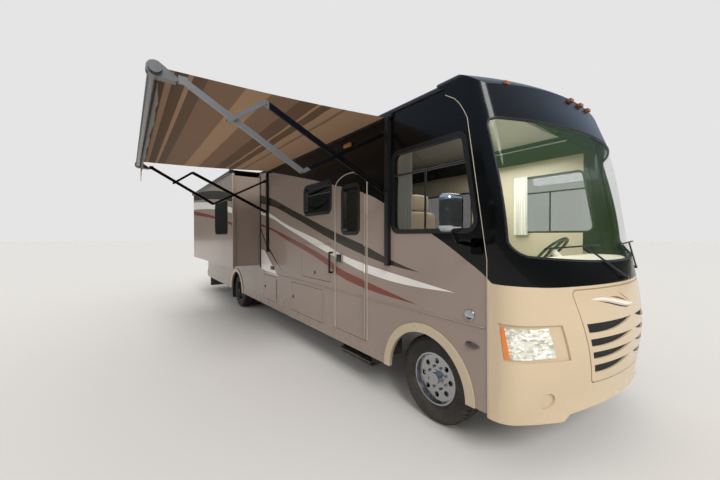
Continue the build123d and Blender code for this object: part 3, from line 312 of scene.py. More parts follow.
black_edge = ((-10.5, 3.9), (-4.22, 3.09), (-2.37, 2.70), (-1.52, 2.49), (-0.91, 2.325), (-0.5, 2.146),
              (0.156, 1.816), (0.47, 1.628), (0.66, 1.50), (0.69, 1.463), (0.9, 1.452), (1.04, 1.436),
              (1.5, 1.436))
olive_top = ((-10.5, 3.3), (-4.43, 2.655), (-2.83, 2.226), (-1.59, 1.876), (-0.93, 1.713), (-0.5, 1.58),
             (-0.02, 1.47), (1.5, 1.2))
olive_low = ((-10.5, 3.05), (-4.06, 2.425), (-2.83, 2.109), (-1.66, 1.771), (-0.93, 1.597), (-0.5, 1.52),
             (-0.03, 1.474), (1.5, 1.4))
white_top = ((-10.5, 3.0), (-4.51, 2.371), (-3.17, 2.013), (-1.97, 1.738), (-1.38, 1.574), (-0.93, 1.497),
             (-0.04, 1.385), (0.36, 1.339), (1.5, 1.2))
white_low = ((-10.5, 2.75), (-4.14, 2.207), (-3.17, 1.952), (-1.74, 1.576), (-1.38, 1.492), (-0.93, 1.398),
             (-0.04, 1.331), (0.36, 1.339), (1.5, 1.34))
brick_top = ((-10.5, 2.75), (-4.55, 2.079), (-3.17, 1.817), (-1.74, 1.488), (-1.55, 1.415), (-0.93, 1.298),
             (-0.07, 1.157), (1.5, 0.9))
brick_low = ((-10.5, 2.6), (-4.14, 1.969), (-3.17, 1.743), (-1.74, 1.391), (-1.55, 1.312), (-0.93, 1.207),
             (-0.07, 1.157), (1.5, 1.1))

body_group, get, put = new_group("body stripes", (("Base", "Color", shaded_side_tan),), (("Colour", "Color"),))
place_on_body = vehicle_place(body_group)
along = remap(body_group, place_on_body["X"], reach_back, reach_front)
up = place_on_body["Z"]
facing = coordinates(body_group, "Normal")
sideways = maths(body_group, "GREATER_THAN", maths(body_group, "ABSOLUTE", facing["Y"]), facing_share)

def above(edge, straight=False):
    return maths(body_group, "GREATER_THAN", up, edge_curve(body_group, along, edge, straight))

def band(top, low, straight=False):
    between = maths(body_group, "SUBTRACT", above(low, straight), above(top, straight), clamp=True)
    return maths(body_group, "MULTIPLY", between, sideways)

right_side = maths(body_group, "LESS_THAN", place_on_body["Y"], 0.0)

def mark(top, low):
    """A straight-edged band on the right side only."""
    return maths(body_group, "MULTIPLY", band(top, low, True), right_side)

# A thin dark line and a pale wedge, both just ahead of the slide-out room
dark_top = ((-10.5, 1.15), (-4.58, 1.15), (-4.57, 2.02), (-4.26, 1.70), (-3.361, 1.15), (1.5, 1.15))
dark_low = ((-10.5, 1.15), (-4.58, 1.15), (-4.57, 1.955), (-4.26, 1.625), (-3.361, 1.15), (1.5, 1.15))
wedge_top = ((-10.5, 1.16), (-4.58, 1.16), (-4.57, 1.545), (-4.352, 1.533), (-3.704, 1.121),
             (-3.634, 1.075), (1.5, 1.07))
wedge_low = ((-10.5, 1.16), (-4.58, 1.16), (-4.57, 1.157), (-4.189, 1.089), (-3.634, 1.075), (1.5, 1.07))

shade = get.outputs["Base"]
for stripe, colour in (
    (mark(wedge_top, wedge_low), stripe_white),
    (mark(dark_top, dark_low), stripe_olive),
    (band(brick_top, brick_low), stripe_brick),
    (band(white_top, white_low), stripe_white),
    (band(olive_top, olive_low), stripe_olive),
):
    shade = blend_colours(body_group, stripe, shade, colour)
shade = blend_colours(body_group, above(black_edge), shade, gloss_black)

# The walls' inner faces carry a pale lining, up to the headliner and as far forward as the cap's pillars
lining_depth = 0.03
lining_limits = (("X", "GREATER_THAN", -9.0), ("X", "LESS_THAN", 0.44), ("Z", "GREATER_THAN", 1.05),
                 ("Z", "LESS_THAN", 2.9))
across = maths(body_group, "ABSOLUTE", place_on_body["Y"])
lining = maths(body_group, "LESS_THAN", across, half_width - lining_depth)
for axis, how, limit in lining_limits:
    within = maths(body_group, how, place_on_body[axis], limit)
    lining = maths(body_group, "MULTIPLY", lining, within)
shade = blend_colours(body_group, lining, shade, lining_tan)
body_group.links.new(shade, put.inputs["Colour"])
print("nodes in the stripe group:", len(body_group.nodes))

def striped(base):
    def pattern(tree):
        return place_group(tree, body_group, Base=base).outputs["Colour"]
    return pattern

# %% [markdown]
# The awning cloth is woven in bands of three browns that run along the vehicle. An image could hold them,
# but it would blur close up. A ramp of hard stops over the distance from the wall stays sharp, and a
# crossed pair of sine waves gives the threads, with painted shade between them.

# %% The awning cloth's pattern
cloth_dark = paint(108, 82, 60)
cloth_mid = paint(140, 109, 85)
cloth_light = paint(182, 147, 115)
cloth_thread_shade = paint(70, 52, 38)
cloth_reach = (-3.5, -1.25)
thread_shade_share = 0.22
# Where each band starts, as y from the front axle
cloth_bands = ((-3.46, cloth_mid), (-3.39, cloth_dark), (-3.323, cloth_light), (-3.279, cloth_dark),
               (-3.188, cloth_light), (-3.152, cloth_dark), (-3.055, cloth_mid), (-2.774, cloth_light),
               (-2.565, cloth_mid), (-2.301, cloth_dark), (-2.119, cloth_light), (-2.082, cloth_dark),
               (-1.964, cloth_light), (-1.842, cloth_mid), (-1.8, cloth_light))

weave_group, get, put = new_group("weave", (("Threads", "Float", 900.0),), (("Height", "Float"),))
thread = coordinates(weave_group)
waves = []
for axis in ("X", "Y"):
    turns = maths(weave_group, "MULTIPLY", thread[axis], get.outputs["Threads"])
    waves.append(maths(weave_group, "SINE", turns))
weave_group.links.new(maths(weave_group, "MULTIPLY", *waves), put.inputs["Height"])

def banded_cloth(tree):
    """The bands, with painted shade that darkens them a little between the threads."""
    place = vehicle_place(tree)
    ramp = add_node(tree, "ShaderNodeValToRGB")
    ramp.color_ramp.interpolation = "CONSTANT"
    first, last = cloth_reach
    tree.links.new(remap(tree, place["Y"], first, last), ramp.inputs["Fac"])
    stops = ramp.color_ramp.elements
    stops[0].position = 0.0
    stops[0].color = cloth_bands[0][1]
    stops[1].position = (cloth_bands[1][0] - first) / (last - first)
    stops[1].color = cloth_bands[1][1]
    for edge, colour in cloth_bands[2:]:
        stops.new((edge - first) / (last - first)).color = colour
    threads = place_group(tree, weave_group, Threads=2400.0).outputs["Height"]
    # Painted shade: the cloth is darker where the crossed waves of the threads peak.
    painted_thread_shade = remap(tree, threads, -1.0, 1.0, 0.0, thread_shade_share)
    return blend_colours(tree, painted_thread_shade, ramp.outputs["Color"], cloth_thread_shade)

print("bands in the cloth:", len(cloth_bands))

# %% [markdown]
# Some parts carry two colours: bright and dark metal on the awning's arms, a chromed head on a dark
# mirror stalk, an amber end on the headlamp's glass, the side's paint on the roof's rounded edges. They
# could be cut apart, but a mask that reads the place on the vehicle keeps each part whole.

# %% Parts with two colours
brace_end, main_arm_end, rear_arms_end = -2.22, -2.60, -3.0
main_arm_line = (-2.30, 2.46, -0.577)
mirror_foot = 1.858
amber_slope, amber_start = -0.18, 1.004
roof_flat_half = 1.13

def above_line(tree, place, y, z, slope):
    """1 where a point of the arms lies above the line through y, z that climbs towards the wall."""
    line = maths(tree, "MULTIPLY_ADD", maths(tree, "SUBTRACT", place["Y"], y), slope, z)
    return maths(tree, "GREATER_THAN", place["Z"], line)

def two_tone_arms(tree):
    """Bright outer arm and link, dark main arm and brace, as they are on the real linkage."""
    place = vehicle_place(tree)
    inner = maths(tree, "GREATER_THAN", place["Y"], brace_end)
    main = above_line(tree, place, *main_arm_line)
    reach = maths(tree, "GREATER_THAN", place["Y"], main_arm_end)
    dark = maths(tree, "MAXIMUM", inner, maths(tree, "MULTIPLY", main, reach))
    rear = maths(tree, "LESS_THAN", place["X"], rear_arms_end)
    mask = maths(tree, "MAXIMUM", dark, rear)
    return blend_colours(tree, mask, paint(138, 136, 134), paint(24, 24, 26))

def mirror_parts(tree):
    """A chromed head on a dark stalk."""
    place = vehicle_place(tree)
    head = maths(tree, "GREATER_THAN", place["Z"], mirror_foot)
    return blend_colours(tree, head, paint(20, 20, 22), paint(176, 180, 186))

def lamp_glass(tree):
    """Painted glints for the facets of a reflector behind clear glass, with an amber turn lamp at its
    outer end.
    """
    place = vehicle_place(tree)
    # The Voronoi cells paint glints: lighter and darker spots where the reflector's facets would catch
    # light.
    facets = add_node(tree, "ShaderNodeTexVoronoi")
    facets.inputs["Scale"].default_value = 15.0
    glints = add_node(tree, "ShaderNodeSeparateXYZ")
    tree.links.new(facets.outputs["Color"], glints.inputs[0])
    clear = blend_colours(tree, glints.outputs["X"], paint(170, 166, 146), paint(250, 248, 238))
    edge = maths(tree, "ADD", maths(tree, "MULTIPLY", place["Z"], amber_slope), amber_start)
    amber = maths(tree, "LESS_THAN", place["X"], edge)
    return blend_colours(tree, amber, clear, paint(226, 120, 26))

def roof_edge(tree):
    """White in the middle of the roof, and the side's paint on its rounded edges."""
    place = vehicle_place(tree)
    edge = maths(tree, "GREATER_THAN", maths(tree, "ABSOLUTE", place["Y"]), roof_flat_half)
    # The side's paint on the rounded edges carries its painted shade.
    side = place_group(tree, body_group, Base=shaded_side_tan).outputs["Colour"]
    return blend_colours(tree, edge, paint(216, 214, 208), side)

# %% [markdown]
# Thin tapered strokes run over the hood. They are as flat as paint, so they are colour and not shape: one
# curve gives the height of a stroke's middle line across the vehicle, and a second one half its breadth.

# %% Strokes on the hood
hood_reach = (-0.7, 0.3)
stroke_heights, stroke_halves = (1.2, 1.4), (0.0, 0.02)
# The colour, then y, z and half the breadth at each point
hood_strokes = (
    (stripe_white, (
        (-0.632, 1.328, 0.0), (-0.566, 1.33, 0.007), (-0.468, 1.325, 0.010), (-0.348, 1.305, 0.012),
        (-0.212, 1.277, 0.013), (-0.091, 1.253, 0.012), (0.0, 1.246, 0.006), (0.05, 1.25, 0.0))),
    (stripe_olive, (
        (-0.559, 1.314, 0.0), (-0.416, 1.288, 0.005), (-0.259, 1.252, 0.007), (-0.134, 1.230, 0.006),
        (-0.04, 1.229, 0.0))),
    (stripe_brick, (
        (-0.378, 1.335, 0.0), (-0.265, 1.319, 0.007), (-0.175, 1.298, 0.006), (-0.095, 1.278, 0.0))),
    (stripe_olive, (
        (-0.233, 1.373, 0.0), (-0.187, 1.341, 0.003), (-0.111, 1.304, 0.004), (-0.016, 1.266, 0.0))),
)

def hood_pattern(tree):
    """The cap's paint with the strokes on the hood's outer face."""
    place = vehicle_place(tree)
    across = remap(tree, place["Y"], *hood_reach)
    outside = maths(tree, "GREATER_THAN", coordinates(tree, "Normal")["X"], 0.0)
    shade = striped(cap_beige)(tree)
    for colour, rows in hood_strokes:
        middle = edge_curve(tree, across, [row[:2] for row in rows], True, hood_reach, stroke_heights)
        half = edge_curve(tree, across, [row[::2] for row in rows], True, hood_reach, stroke_halves)
        gap = maths(tree, "ABSOLUTE", maths(tree, "SUBTRACT", place["Z"], middle))
        mask = maths(tree, "MULTIPLY", maths(tree, "LESS_THAN", gap, half), outside)
        shade = blend_colours(tree, mask, shade, colour)
    return shade

print("strokes on the hood:", len(hood_strokes))

# %% [markdown]
# Each part of the frame names a slot, such as side paint or chrome, and one finish serves all the parts of
# a slot. A few parts have a look of their own. Body panels are gloss paint: a smooth coloured layer with
# little shine of its own, under a thin clear coat.

# %% The finishes
def gloss_paint(name, colour, dust, dust_top, pattern):
    """Body paint under a thin clear coat."""
    return finish(name, colour, 0.24, grain=3.0, spread=0.05, dust=dust, dust_top=dust_top,
                  pattern=pattern, Specular_IOR_Level=0.2, Coat_Weight=0.15, Coat_Roughness=0.03)

finishes = {
    # The side's base colour is darkened with painted shade.
    "side_paint": gloss_paint("side paint", shaded_side_tan, 0.35, 0.9, striped(shaded_side_tan)),
    "cap_paint": gloss_paint("cap paint", cap_beige, 0.3, 0.8, striped(cap_beige)),
    "roof_skin": finish("roof skin", paint(216, 214, 208), 0.5, grain=8.0, spread=0.2, bump=0.001,
                        pattern=roof_edge),
    "dark_coating": finish("chassis coating", paint(30, 30, 31), 0.55, grain=60.0, spread=0.25,
                           bump=0.002, dust=0.6),
    "cast_metal": finish("cast metal", paint(72, 70, 68), 0.6, 0.6, grain=90.0, spread=0.25, bump=0.003,
                         dust=0.7),
    "tank_plastic": finish("tank plastic", paint(40, 40, 42), 0.6, grain=120.0, bump=0.001, dust=0.6),
    "lamp_lens": finish("lamp lens", paint(236, 230, 208), 0.06, grain=30.0, spread=0.03,
                        pattern=lamp_glass, Coat_Weight=0.8, Coat_Roughness=0.02),
    "amber_lens": finish("amber lens", paint(150, 88, 44), 0.14, Coat_Weight=0.4),
    "red_lens": finish("red lens", paint(140, 16, 14), 0.12, Coat_Weight=0.5),
    "black_trim": finish("black trim", paint(16, 16, 18), 0.36, grain=300.0, spread=0.1, bump=0.0004,
                         dust=0.2),
    "anodised": finish("anodised aluminium", paint(122, 120, 118), 0.34, 1.0, grain=40.0, spread=0.12),
    "awning_cloth": finish("awning cloth", cloth_mid, 0.8, grain=400.0, spread=0.06,
                           pattern=banded_cloth),
    "cab_plastic": finish("cab plastic", paint(226, 220, 200), 0.6, grain=500.0, bump=0.0006),
    "seat_cover": finish("seat cover", paint(186, 168, 140), 0.5, grain=300.0, bump=0.001),
    "white_plastic": finish("white plastic", paint(222, 221, 216), 0.4, grain=80.0, bump=0.0005),
    "chrome": finish("chrome", paint(176, 178, 182), 0.1, 1.0, grain=4.0, spread=0.05, dust=0.35),
    "rubber": finish("rubber", paint(26, 26, 27), 0.7, grain=200.0, bump=0.001, dust=0.4),
    "tyre": finish("tyre rubber", paint(27, 26, 26), 0.7, grain=160.0, bump=0.0015, dust=0.22,
                   dust_top=1.6),
}
arms_finish = finish("awning arms", paint(168, 170, 174), 0.34, 0.9, grain=40.0, spread=0.12,
                     pattern=two_tone_arms)
mirror_finish = finish("mirror heads", paint(206, 208, 212), 0.1, 1.0, grain=3.0, spread=0.04, bump=0.012,
                       pattern=mirror_parts)
topper_finish = finish("topper cloth", paint(24, 23, 24), 0.7, grain=400.0, bump=0.0004, dust=0.2,
                       dust_top=6.0)
curtain_finish = finish("curtain cloth", paint(228, 228, 218), 0.9, grain=500.0, bump=0.0006,
                        Sheen_Weight=0.3)

def glass_finish(name, colour, cover):
    """Tinted glass. cover is the share of light that each face of the pane keeps back."""
    material = bpy.data.materials.new(name)
    material.use_nodes = True
    shader = material.node_tree.nodes["Principled BSDF"]
    shader.inputs["Base Color"].default_value = colour
    shader.inputs["Roughness"].default_value = 0.02
    shader.inputs["Alpha"].default_value = cover
    shader.inputs["Coat Weight"].default_value = 1.0
    shader.inputs["Coat Roughness"].default_value = 0.01
    return material

finishes["glass"] = glass_finish("tinted glass", paint(12, 16, 12), 0.38)
screen_finish = glass_finish("windscreen glass", paint(126, 166, 110), 0.07)
hood_finish = gloss_paint("hood paint", cap_beige, 0.3, 0.8, hood_pattern)
flare_finish = finish("flare moulding", paint(186, 170, 144), 0.28, grain=20.0, spread=0.08, dust=0.25)
own_finishes = {"awning_arms": arms_finish, "mirrors": mirror_finish, "windscreen": screen_finish,
                "fender_flares": flare_finish, "hood": hood_finish}

slots = {part["node"]: part["material_slot"] for part in frame["record"]["subparts"]}
for name, part in frame["nodes"].items():
    part.data.materials.clear()
    part.data.materials.append(own_finishes.get(name) or finishes[slots[name]])
print("finishes for slots:", len(finishes), "parts with their own:", len(own_finishes))

# %% [markdown]
# New pieces are made with bmesh and linked into the scene. Each rides on the body of the part that
# carries it, so the helper takes that part's name and looks the body up. The loops below go over both
# sides of the vehicle, where the right side has a negative y.

# %% Making pieces
sides = ((-1, "right"), (1, "left"))

def linked(name, data):
    """An object for a mesh, curve, light or camera, linked into the scene."""
    made = bpy.data.objects.new(name, data)
    bpy.context.scene.collection.objects.link(made)
    return made

def as_object(bm, name):
    """A linked object from a bmesh, which is freed."""
    mesh = bpy.data.meshes.new(name)
    bm.to_mesh(mesh)
    bm.free()
    return linked(name, mesh)

def dress(piece, material, carrier, smooth=True):
    """Give a piece its material and the body it rides on."""
    piece.data.materials.append(material)
    if smooth:
        for face in piece.data.polygons:
            face.use_smooth = True
    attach(piece, body_of(frame["nodes"][carrier])[0])
    return piece

def grid_piece(name, columns, rows, place):
    """A sheet of faces whose points are placed by place(u, v), with u and v from 0 to 1."""
    bm = bmesh.new()
    bmesh.ops.create_grid(bm, x_segments=columns, y_segments=rows, size=0.5)
    for corner in bm.verts:
        corner.co = place(corner.co.x + 0.5, corner.co.y + 0.5)
    return as_object(bm, name)

# %% [markdown]
# The awning's cloth is stretched between the wall and the roller and sags a little between them. A
# valance hangs from the roller in shallow folds, and its rear corner is drawn down to a point. A cloth
# simulation could hang both, but cloth this taut has a simple shape, so each is a grid whose points a
# formula puts in place, the same in every run.

# %% Awning cloth
canopy_back, canopy_front = -4.067, -0.539
canopy_wall, canopy_roller = -1.3135, -3.392
rail_height, roller_height = 3.101, 3.004
canopy_sag, canopy_ripple = 0.024, 0.0025

def canopy_point(u, v):
    """u runs forward along the vehicle, v from the wall out to the roller."""
    sag = canopy_sag * math.sin(math.pi * v) * (0.7 + 0.3 * math.sin(math.pi * u))
    ripple = canopy_ripple * math.sin(u * 41) * math.sin(math.pi * v)
    height = rail_height + v * (roller_height - rail_height) - sag + ripple
    along = canopy_back + u * (canopy_front - canopy_back)
    return at(along, canopy_wall + v * (canopy_roller - canopy_wall), height)

canopy = grid_piece("awning_canopy", 90, 50, canopy_point)
dress(canopy, finishes["awning_cloth"], "awning_fabric")
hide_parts("awning_fabric")

valance_start, valance_length = 0.01, 3.50
valance_line, valance_top = -3.378, 2.925
valance_drop, corner_drop, corner_share = 0.17, 0.07, 12

def valance_point(u, v):
    """u runs forward along the roller, v down the cloth. Waves of two lengths keep the folds uneven."""
    fold = 0.005 * v * math.sin(u * 31) + 0.002 * v * math.sin(u * 83)
    height = valance_top - v * (valance_drop + corner_drop * max(0.0, 1 - u * corner_share))
    return at(canopy_back + valance_start + u * valance_length, valance_line + fold, height)

valance = grid_piece("awning_valance", 160, 8, valance_point)
valance_finish = finish("valance cloth", paint(104, 96, 88), 0.8, grain=400.0, bump=0.0006)
dress(valance, valance_finish, "awning_roller")
print("awning cloth faces:", len(canopy.data.polygons) + len(valance.data.polygons))

# %% [markdown]
# A second cloth covers the gap over the slide-out room. A real one winds onto its own roller as the room
# comes in. Winding would need a new shape at every pose, so here the sheet keeps one shape and rides on
# the body of the topper's part.

# %% Cloth over the slide-out room
topper_back, topper_length = -9.078, 4.441
topper_wall, topper_reach = -1.3, 0.562
topper_height, topper_fall = 3.1628, 0.0078
topper_sag, topper_ripple = 0.0014, 0.0004

def topper_point(u, v):
    """u runs forward along the room, v from the wall out to the topper's roller."""
    sag = (topper_sag * math.sin(math.pi * v)
           + topper_ripple * math.sin(u * 60) * math.sin(math.pi * v))
    return at(topper_back + u * topper_length, topper_wall - v * topper_reach,
              topper_height - v * topper_fall - sag)

topper = grid_piece("topper_cloth", 110, 12, topper_point)
dress(topper, topper_finish, "topper_fabric")
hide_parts("topper_fabric")
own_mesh(topper)
print("topper cloth faces:", len(topper.data.polygons))

# %% [markdown]
# Each tyre is one profile turned round the wheel's axis. A full spin would give smooth rings only, so the
# profile is set down ring by ring, and its radius drops in every gap between two shoulder blocks.

# %% Tyres with a tread
rim_radius = 0.2503
tyre_half = 0.1225
groove = 0.412
half_tread = (
    # distance from the tyre's middle, radius on a block, radius in a gap
    (-0.095, rim_radius, rim_radius), (-0.1165, 0.275, 0.275), (-tyre_half, 0.35, 0.35),
    (-0.1205, 0.372, 0.372), (-0.1105, 0.403, 0.399), (-0.094, 0.4185, 0.409), (-0.086, 0.4225, 0.411),
    (-0.062, 0.4242, groove), (-0.060, groove, groove), (-0.054, groove, groove),
    (-0.052, 0.4245, 0.4245), (-0.024, 0.4248, 0.4248), (-0.022, groove, groove),
    (-0.016, groove, groove), (-0.014, 0.4249, 0.4249))
tread_profile = half_tread + tuple((-across, block, gap) for across, block, gap in reversed(half_tread))
tread_pitches = 54
# Shares of a pitch where a ring of points lies, and whether it lies on a block or in the gap after it
tread_rings = ((0.0, True), (0.68, True), (0.72, False), (0.96, False))

def add_tyre(bm, middle):
    """One treaded tyre round the wheel axis that passes through middle."""
    rings = []
    for pitch in range(tread_pitches):
        for share, block in tread_rings:
            turn = (pitch + share) / tread_pitches * 2 * math.pi
            ring = []
            for across, high, gap in tread_profile:
                radius = high if block else gap
                spot = Vector((radius * math.cos(turn), across, radius * math.sin(turn)))
                ring.append(bm.verts.new(middle + spot))
            rings.append(ring)
    for first, second in zip(rings, rings[1:] + rings[:1]):
        count = len(first)
        for index in range(count):
            after = (index + 1) % count
            bm.faces.new((first[index], first[after], second[after], second[index]))

def tyre_middle(node, outer):
    """The middle of one tyre of a node that may hold two."""
    low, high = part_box(node)
    middle = (low + high) / 2
    middle.y = (low.y + tyre_half) if outer else (high.y - tyre_half)
    return middle

for side, name in sides:
    for node, tyres in (("front_%s_tyre" % name, 1), ("rear_%s_tyres" % name, 2)):
        bm = bmesh.new()
        for number in range(tyres):
            add_tyre(bm, tyre_middle(node, number == 0))
        bmesh.ops.recalc_face_normals(bm, faces=bm.faces)
        tyre = as_object(bm, node + "_tread")
        dress(tyre, finishes["tyre"], node, smooth=False)
        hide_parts(node)

# %% [markdown]
# Trim that lies on the moulded front could be placed by numbers, but they would be wrong as soon as the
# front changed. It finds its place by casting a ray back onto the part instead. Beads are a curve with a
# round section that is turned into a mesh.

# %% Trim on the front
ray_start = 3.0

def on_face(node, y, z, out=0.0):
    """The foremost point of a part at a distance across the vehicle and a height."""
    start = at(ray_start, y, z)
    hit, point, normal = frame["nodes"][node].ray_cast(start, Vector((-1, 0, 0)))[:3]
    return point + normal * out if hit else None

def bead(name, points, radius, material, carrier, closed=False):
    """A rounded bead along the points."""
    curve = bpy.data.curves.new(name, "CURVE")
    curve.dimensions = "3D"
    curve.bevel_depth = radius
    curve.bevel_resolution = 2
    line = curve.splines.new("POLY")
    line.points.add(len(points) - 1)
    for spot, point in zip(line.points, points):
        spot.co = (*point, 1)
    line.use_cyclic_u = closed
    drawn = linked(name, curve)
    mesh = bpy.data.meshes.new_from_object(drawn)
    bpy.data.objects.remove(drawn)
    piece = linked(name, mesh)
    piece.data.materials.clear()
    return dress(piece, material, carrier)

def straight_bead(name, first, last, radius, material, carrier):
    """A bead between two places that are given from the front axle."""
    return bead(name, [at(*first), at(*last)], radius, material, carrier)

# %% [markdown]
# Behind the slots of the hood there is a dark mesh, which keeps the engine bay out of sight. The hood is
# curved both ways, so the mesh reads the hood's face on the bars and stays a little behind it.

# %% Grille backing
bar_heights = (0.735, 0.842, 0.945, 1.052, 1.165)
mesh_low, mesh_rise, mesh_depth = 0.742, 0.416, 0.014
mesh_half_width, mesh_flare, mesh_narrow = 0.618, 0.25, 0.752

def front_face(y, z):
    """The hood's face, or beside it the front cap's."""
    for node in ("hood", "front_cap"):
        spot = on_face(node, y, z)
        if spot is not None:
            return spot
    raise RuntimeError("no face at y %.3f, z %.3f" % (y, z))

def grille_point(u, v):
    """A point behind the hood's face, which is read on the bars above and below it."""
    z = mesh_low + mesh_rise * v
    y = (2 * u - 1) * (mesh_half_width + mesh_flare * (z - mesh_narrow))
    upper = next(height for height in bar_heights if height >= z)
    lower = bar_heights[bar_heights.index(upper) - 1]
    high, low = front_face(y, upper), front_face(y, lower)
    depth = low.x + (high.x - low.x) * (z - lower) / (upper - lower)
    return Vector((depth - mesh_depth, low.y, z))

backing = grid_piece("grille_backing", 48, 16, grille_point)
mesh_finish = finish("grille mesh", paint(14, 14, 15), 0.7, grain=900.0, bump=0.002)
dress(backing, mesh_finish, "hood")
print("grille mesh faces:", len(backing.data.polygons))

# %% [markdown]
# The windscreen's rubber gasket follows the edge of the glass. In each direction from the middle of the
# glass, the script halves the distance between a ray that meets it and one that misses, again and again,
# until it knows the edge, and the bead goes just inside that.

# %% Windscreen gasket
screen_middle = 2.15
gasket_inset, gasket_lift, gasket_radius = 0.006, 0.001, 0.011
gasket_points, halvings = 240, 14

def on_glass(reach, turn, out=0.0):
    """The glass at a reach from its middle, in the direction of turn."""
    return on_face("windscreen", reach * math.cos(turn), screen_middle + reach * math.sin(turn), out)

def glass_edge(turn):
    """The place just inside the glass's edge, found by halving the distance that holds the edge."""
    inside, outside = 0.2, 1.6
    for step in range(halvings):
        reach = (inside + outside) / 2
        if on_glass(reach, turn) is None:
            outside = reach
        else:
            inside = reach
    return on_glass(inside - gasket_inset, turn, gasket_lift)

edge = [glass_edge(math.radians(360 / gasket_points * step)) for step in range(gasket_points)]
edge = [point for point in edge if point is not None]
rubber = finish("gasket rubber", paint(12, 12, 13), 0.45, grain=200.0, bump=0.0005)
bead("screen_gasket", edge, gasket_radius, rubber, "front_cap", True)
print("points along the gasket:", len(edge))

# %% [markdown]
# The mouldings on the sides and the bars in the side windows are thin rounded strips, so each is a bead
# between points on the side. The entry door carries its own length of the waist moulding and rides with
# it, so the moulding parts where the door opens.

# %% Trim along the sides
trim_light = finish("light trim", paint(172, 162, 146), 0.3, grain=40.0, spread=0.08, dust=0.2)
trim_black = finish("black bead", paint(14, 14, 15), 0.4, grain=200.0, spread=0.08)
satin_tan = finish("moulding tan", paint(156, 141, 130), 0.3, grain=30.0, spread=0.06)
seam = ((0.678, 0.405), (0.664, 1.64), (0.48, 2.803), (0.447, 2.87), (0.402, 2.945), (0.352, 3.0),
        (0.255, 3.065))
trim_lift, bar_inset, seam_radius, surround_radius = 0.001, 0.006, 0.0032, 0.007
waist_height, waist_radius = 1.103, 0.005
waist_beads = (("front", -0.86, 0.655), ("middle", -4.42, -1.6))
bar_back, bar_front, bar_height, bar_radius = -0.415, 0.459, 2.452, 0.011
divider_x, divider_foot = 0.018, 1.896
for side, name in sides:
    face = side * (half_width + trim_lift)
    bead("seam_trim_" + name, [at(x, face, z) for x, z in seam], seam_radius, trim_light,
         name + "_wall")
    for part, back, front in waist_beads:
        straight_bead("waist_bead_%s_%s" % (part, name), (back, face, waist_height),
                      (front, face, waist_height), waist_radius, satin_tan, name + "_wall")
    bars = side * (half_width - bar_inset)
    straight_bead("window_bar_" + name, (bar_back, bars, bar_height), (bar_front, bars, bar_height),
                  bar_radius, trim_black, "window_frames")
    straight_bead("window_divider_" + name, (divider_x, bars, divider_foot),
                  (divider_x, bars, bar_height), bar_radius, trim_black, "window_frames")

right_face = -half_width - trim_lift
door_bead_back, door_bead_front = -1.555, -0.945
straight_bead("waist_bead_door", (door_bead_back, right_face, waist_height),
              (door_bead_front, right_face, waist_height), waist_radius, satin_tan, "entry_door")

door_back, door_front, door_foot, door_shoulder = -1.59, -0.88, 0.60, 2.45
arch_middle, arch_half, arch_height, arch_rise, arch_steps = -1.235, 0.355, 2.46, 0.158, 12
arch = [(door_back, door_foot), (door_back, door_shoulder)]
for step in range(1, arch_steps):
    turn = math.pi * step / arch_steps
    arch.append((arch_middle - arch_half * math.cos(turn), arch_height + arch_rise * math.sin(turn)))
arch += [(door_front, door_shoulder), (door_front, door_foot)]
bead("door_surround", [at(x, right_face, z) for x, z in arch], surround_radius, trim_light,
     "right_wall")
print("points round the door:", len(arch))

# %% [markdown]
# Locks, the door's paddle, lamps and blank badge places are small. Round ones are a profile spun about
# the direction that points out of the wall, and the rest are boxes with bevelled edges, because a real
# edge always catches a little light.

# %% Small fittings
def turned(name, middle, outward, profile, material, carrier):
    """A round piece: profile gives (radius, distance outwards), turned round the outward direction."""
    bm = bmesh.new()
    side_way = outward.orthogonal().normalized()
    line = [bm.verts.new(middle + side_way * radius + outward * out) for radius, out in profile]
    edges = [bm.edges.new(pair) for pair in zip(line, line[1:])]
    bmesh.ops.spin(bm, geom=line + edges, cent=middle, axis=outward, angle=2 * math.pi, steps=32,
                   use_merge=True)
    bmesh.ops.remove_doubles(bm, verts=bm.verts, dist=1e-5)
    bmesh.ops.recalc_face_normals(bm, faces=bm.faces)
    return dress(as_object(bm, name), material, carrier)

def rounded_box(name, low, high, radius, material, carrier):
    """A box between two corners, with rounded edges."""
    bm = bmesh.new()
    bmesh.ops.create_cube(bm, size=1.0)
    middle = (low + high) / 2
    for corner in bm.verts:
        corner.co = Vector([middle[i] + corner.co[i] * (high[i] - low[i]) for i in range(3)])
    bmesh.ops.bevel(bm, geom=bm.edges, offset=radius, offset_type="OFFSET", affect="EDGES", segments=3,
                    profile=0.5, material=-1)
    return dress(as_object(bm, name), material, carrier)

lock_profile = ((0.0, 0.009), (0.017, 0.009), (0.021, 0.0075), (0.0235, 0.0068), (0.0235, 0.001))
# The door, its side, and the lock's x and z
locks = (("cabinet_door", -1, -2.1685, 1.28), ("storage_door_right", -1, -2.94, 0.804),
         ("utility_door_right", -1, -4.30, 0.804), ("storage_door_left", 1, -2.94, 0.804))
for node, side, x, z in locks:
    turned(node + "_lock", at(x, side * half_width, z), Vector((0, side, 0)), lock_profile, trim_black,
           node)

# Two corners as x, distance out from the right wall and z, the edges' radius, finish, carrier and slot
boxes = (
    ("door_paddle", (-1.524, 0.024, 1.484), (-1.409, 0.012, 1.584), 0.005, trim_black, "entry_door",
     "black_trim"),
    ("porch_lamp", (-1.35, 0.03, 2.945), (-1.19, -0.004, 2.995), 0.011, finishes["amber_lens"],
     "right_wall", "amber_lens"),
    ("lock_plate", (-3.995, 0.008, 1.172), (-3.81, -0.002, 1.24), 0.004, trim_black, "right_wall",
     "black_trim"),
)
for name, (x0, out0, z0), (x1, out1, z1), radius, material, carrier, slot in boxes:
    rounded_box(name, at(x0, -half_width - out0, z0), at(x1, -half_width - out1, z1), radius, material,
                carrier)
print("locks:", len(locks), "boxes:", len(boxes))

# %% [markdown]
# A blank chromed disc takes the place of the badge on each side, and a small lamp under smoked glass sits
# behind it. The lamp is a sphere that is pressed flat and made narrower towards the front.

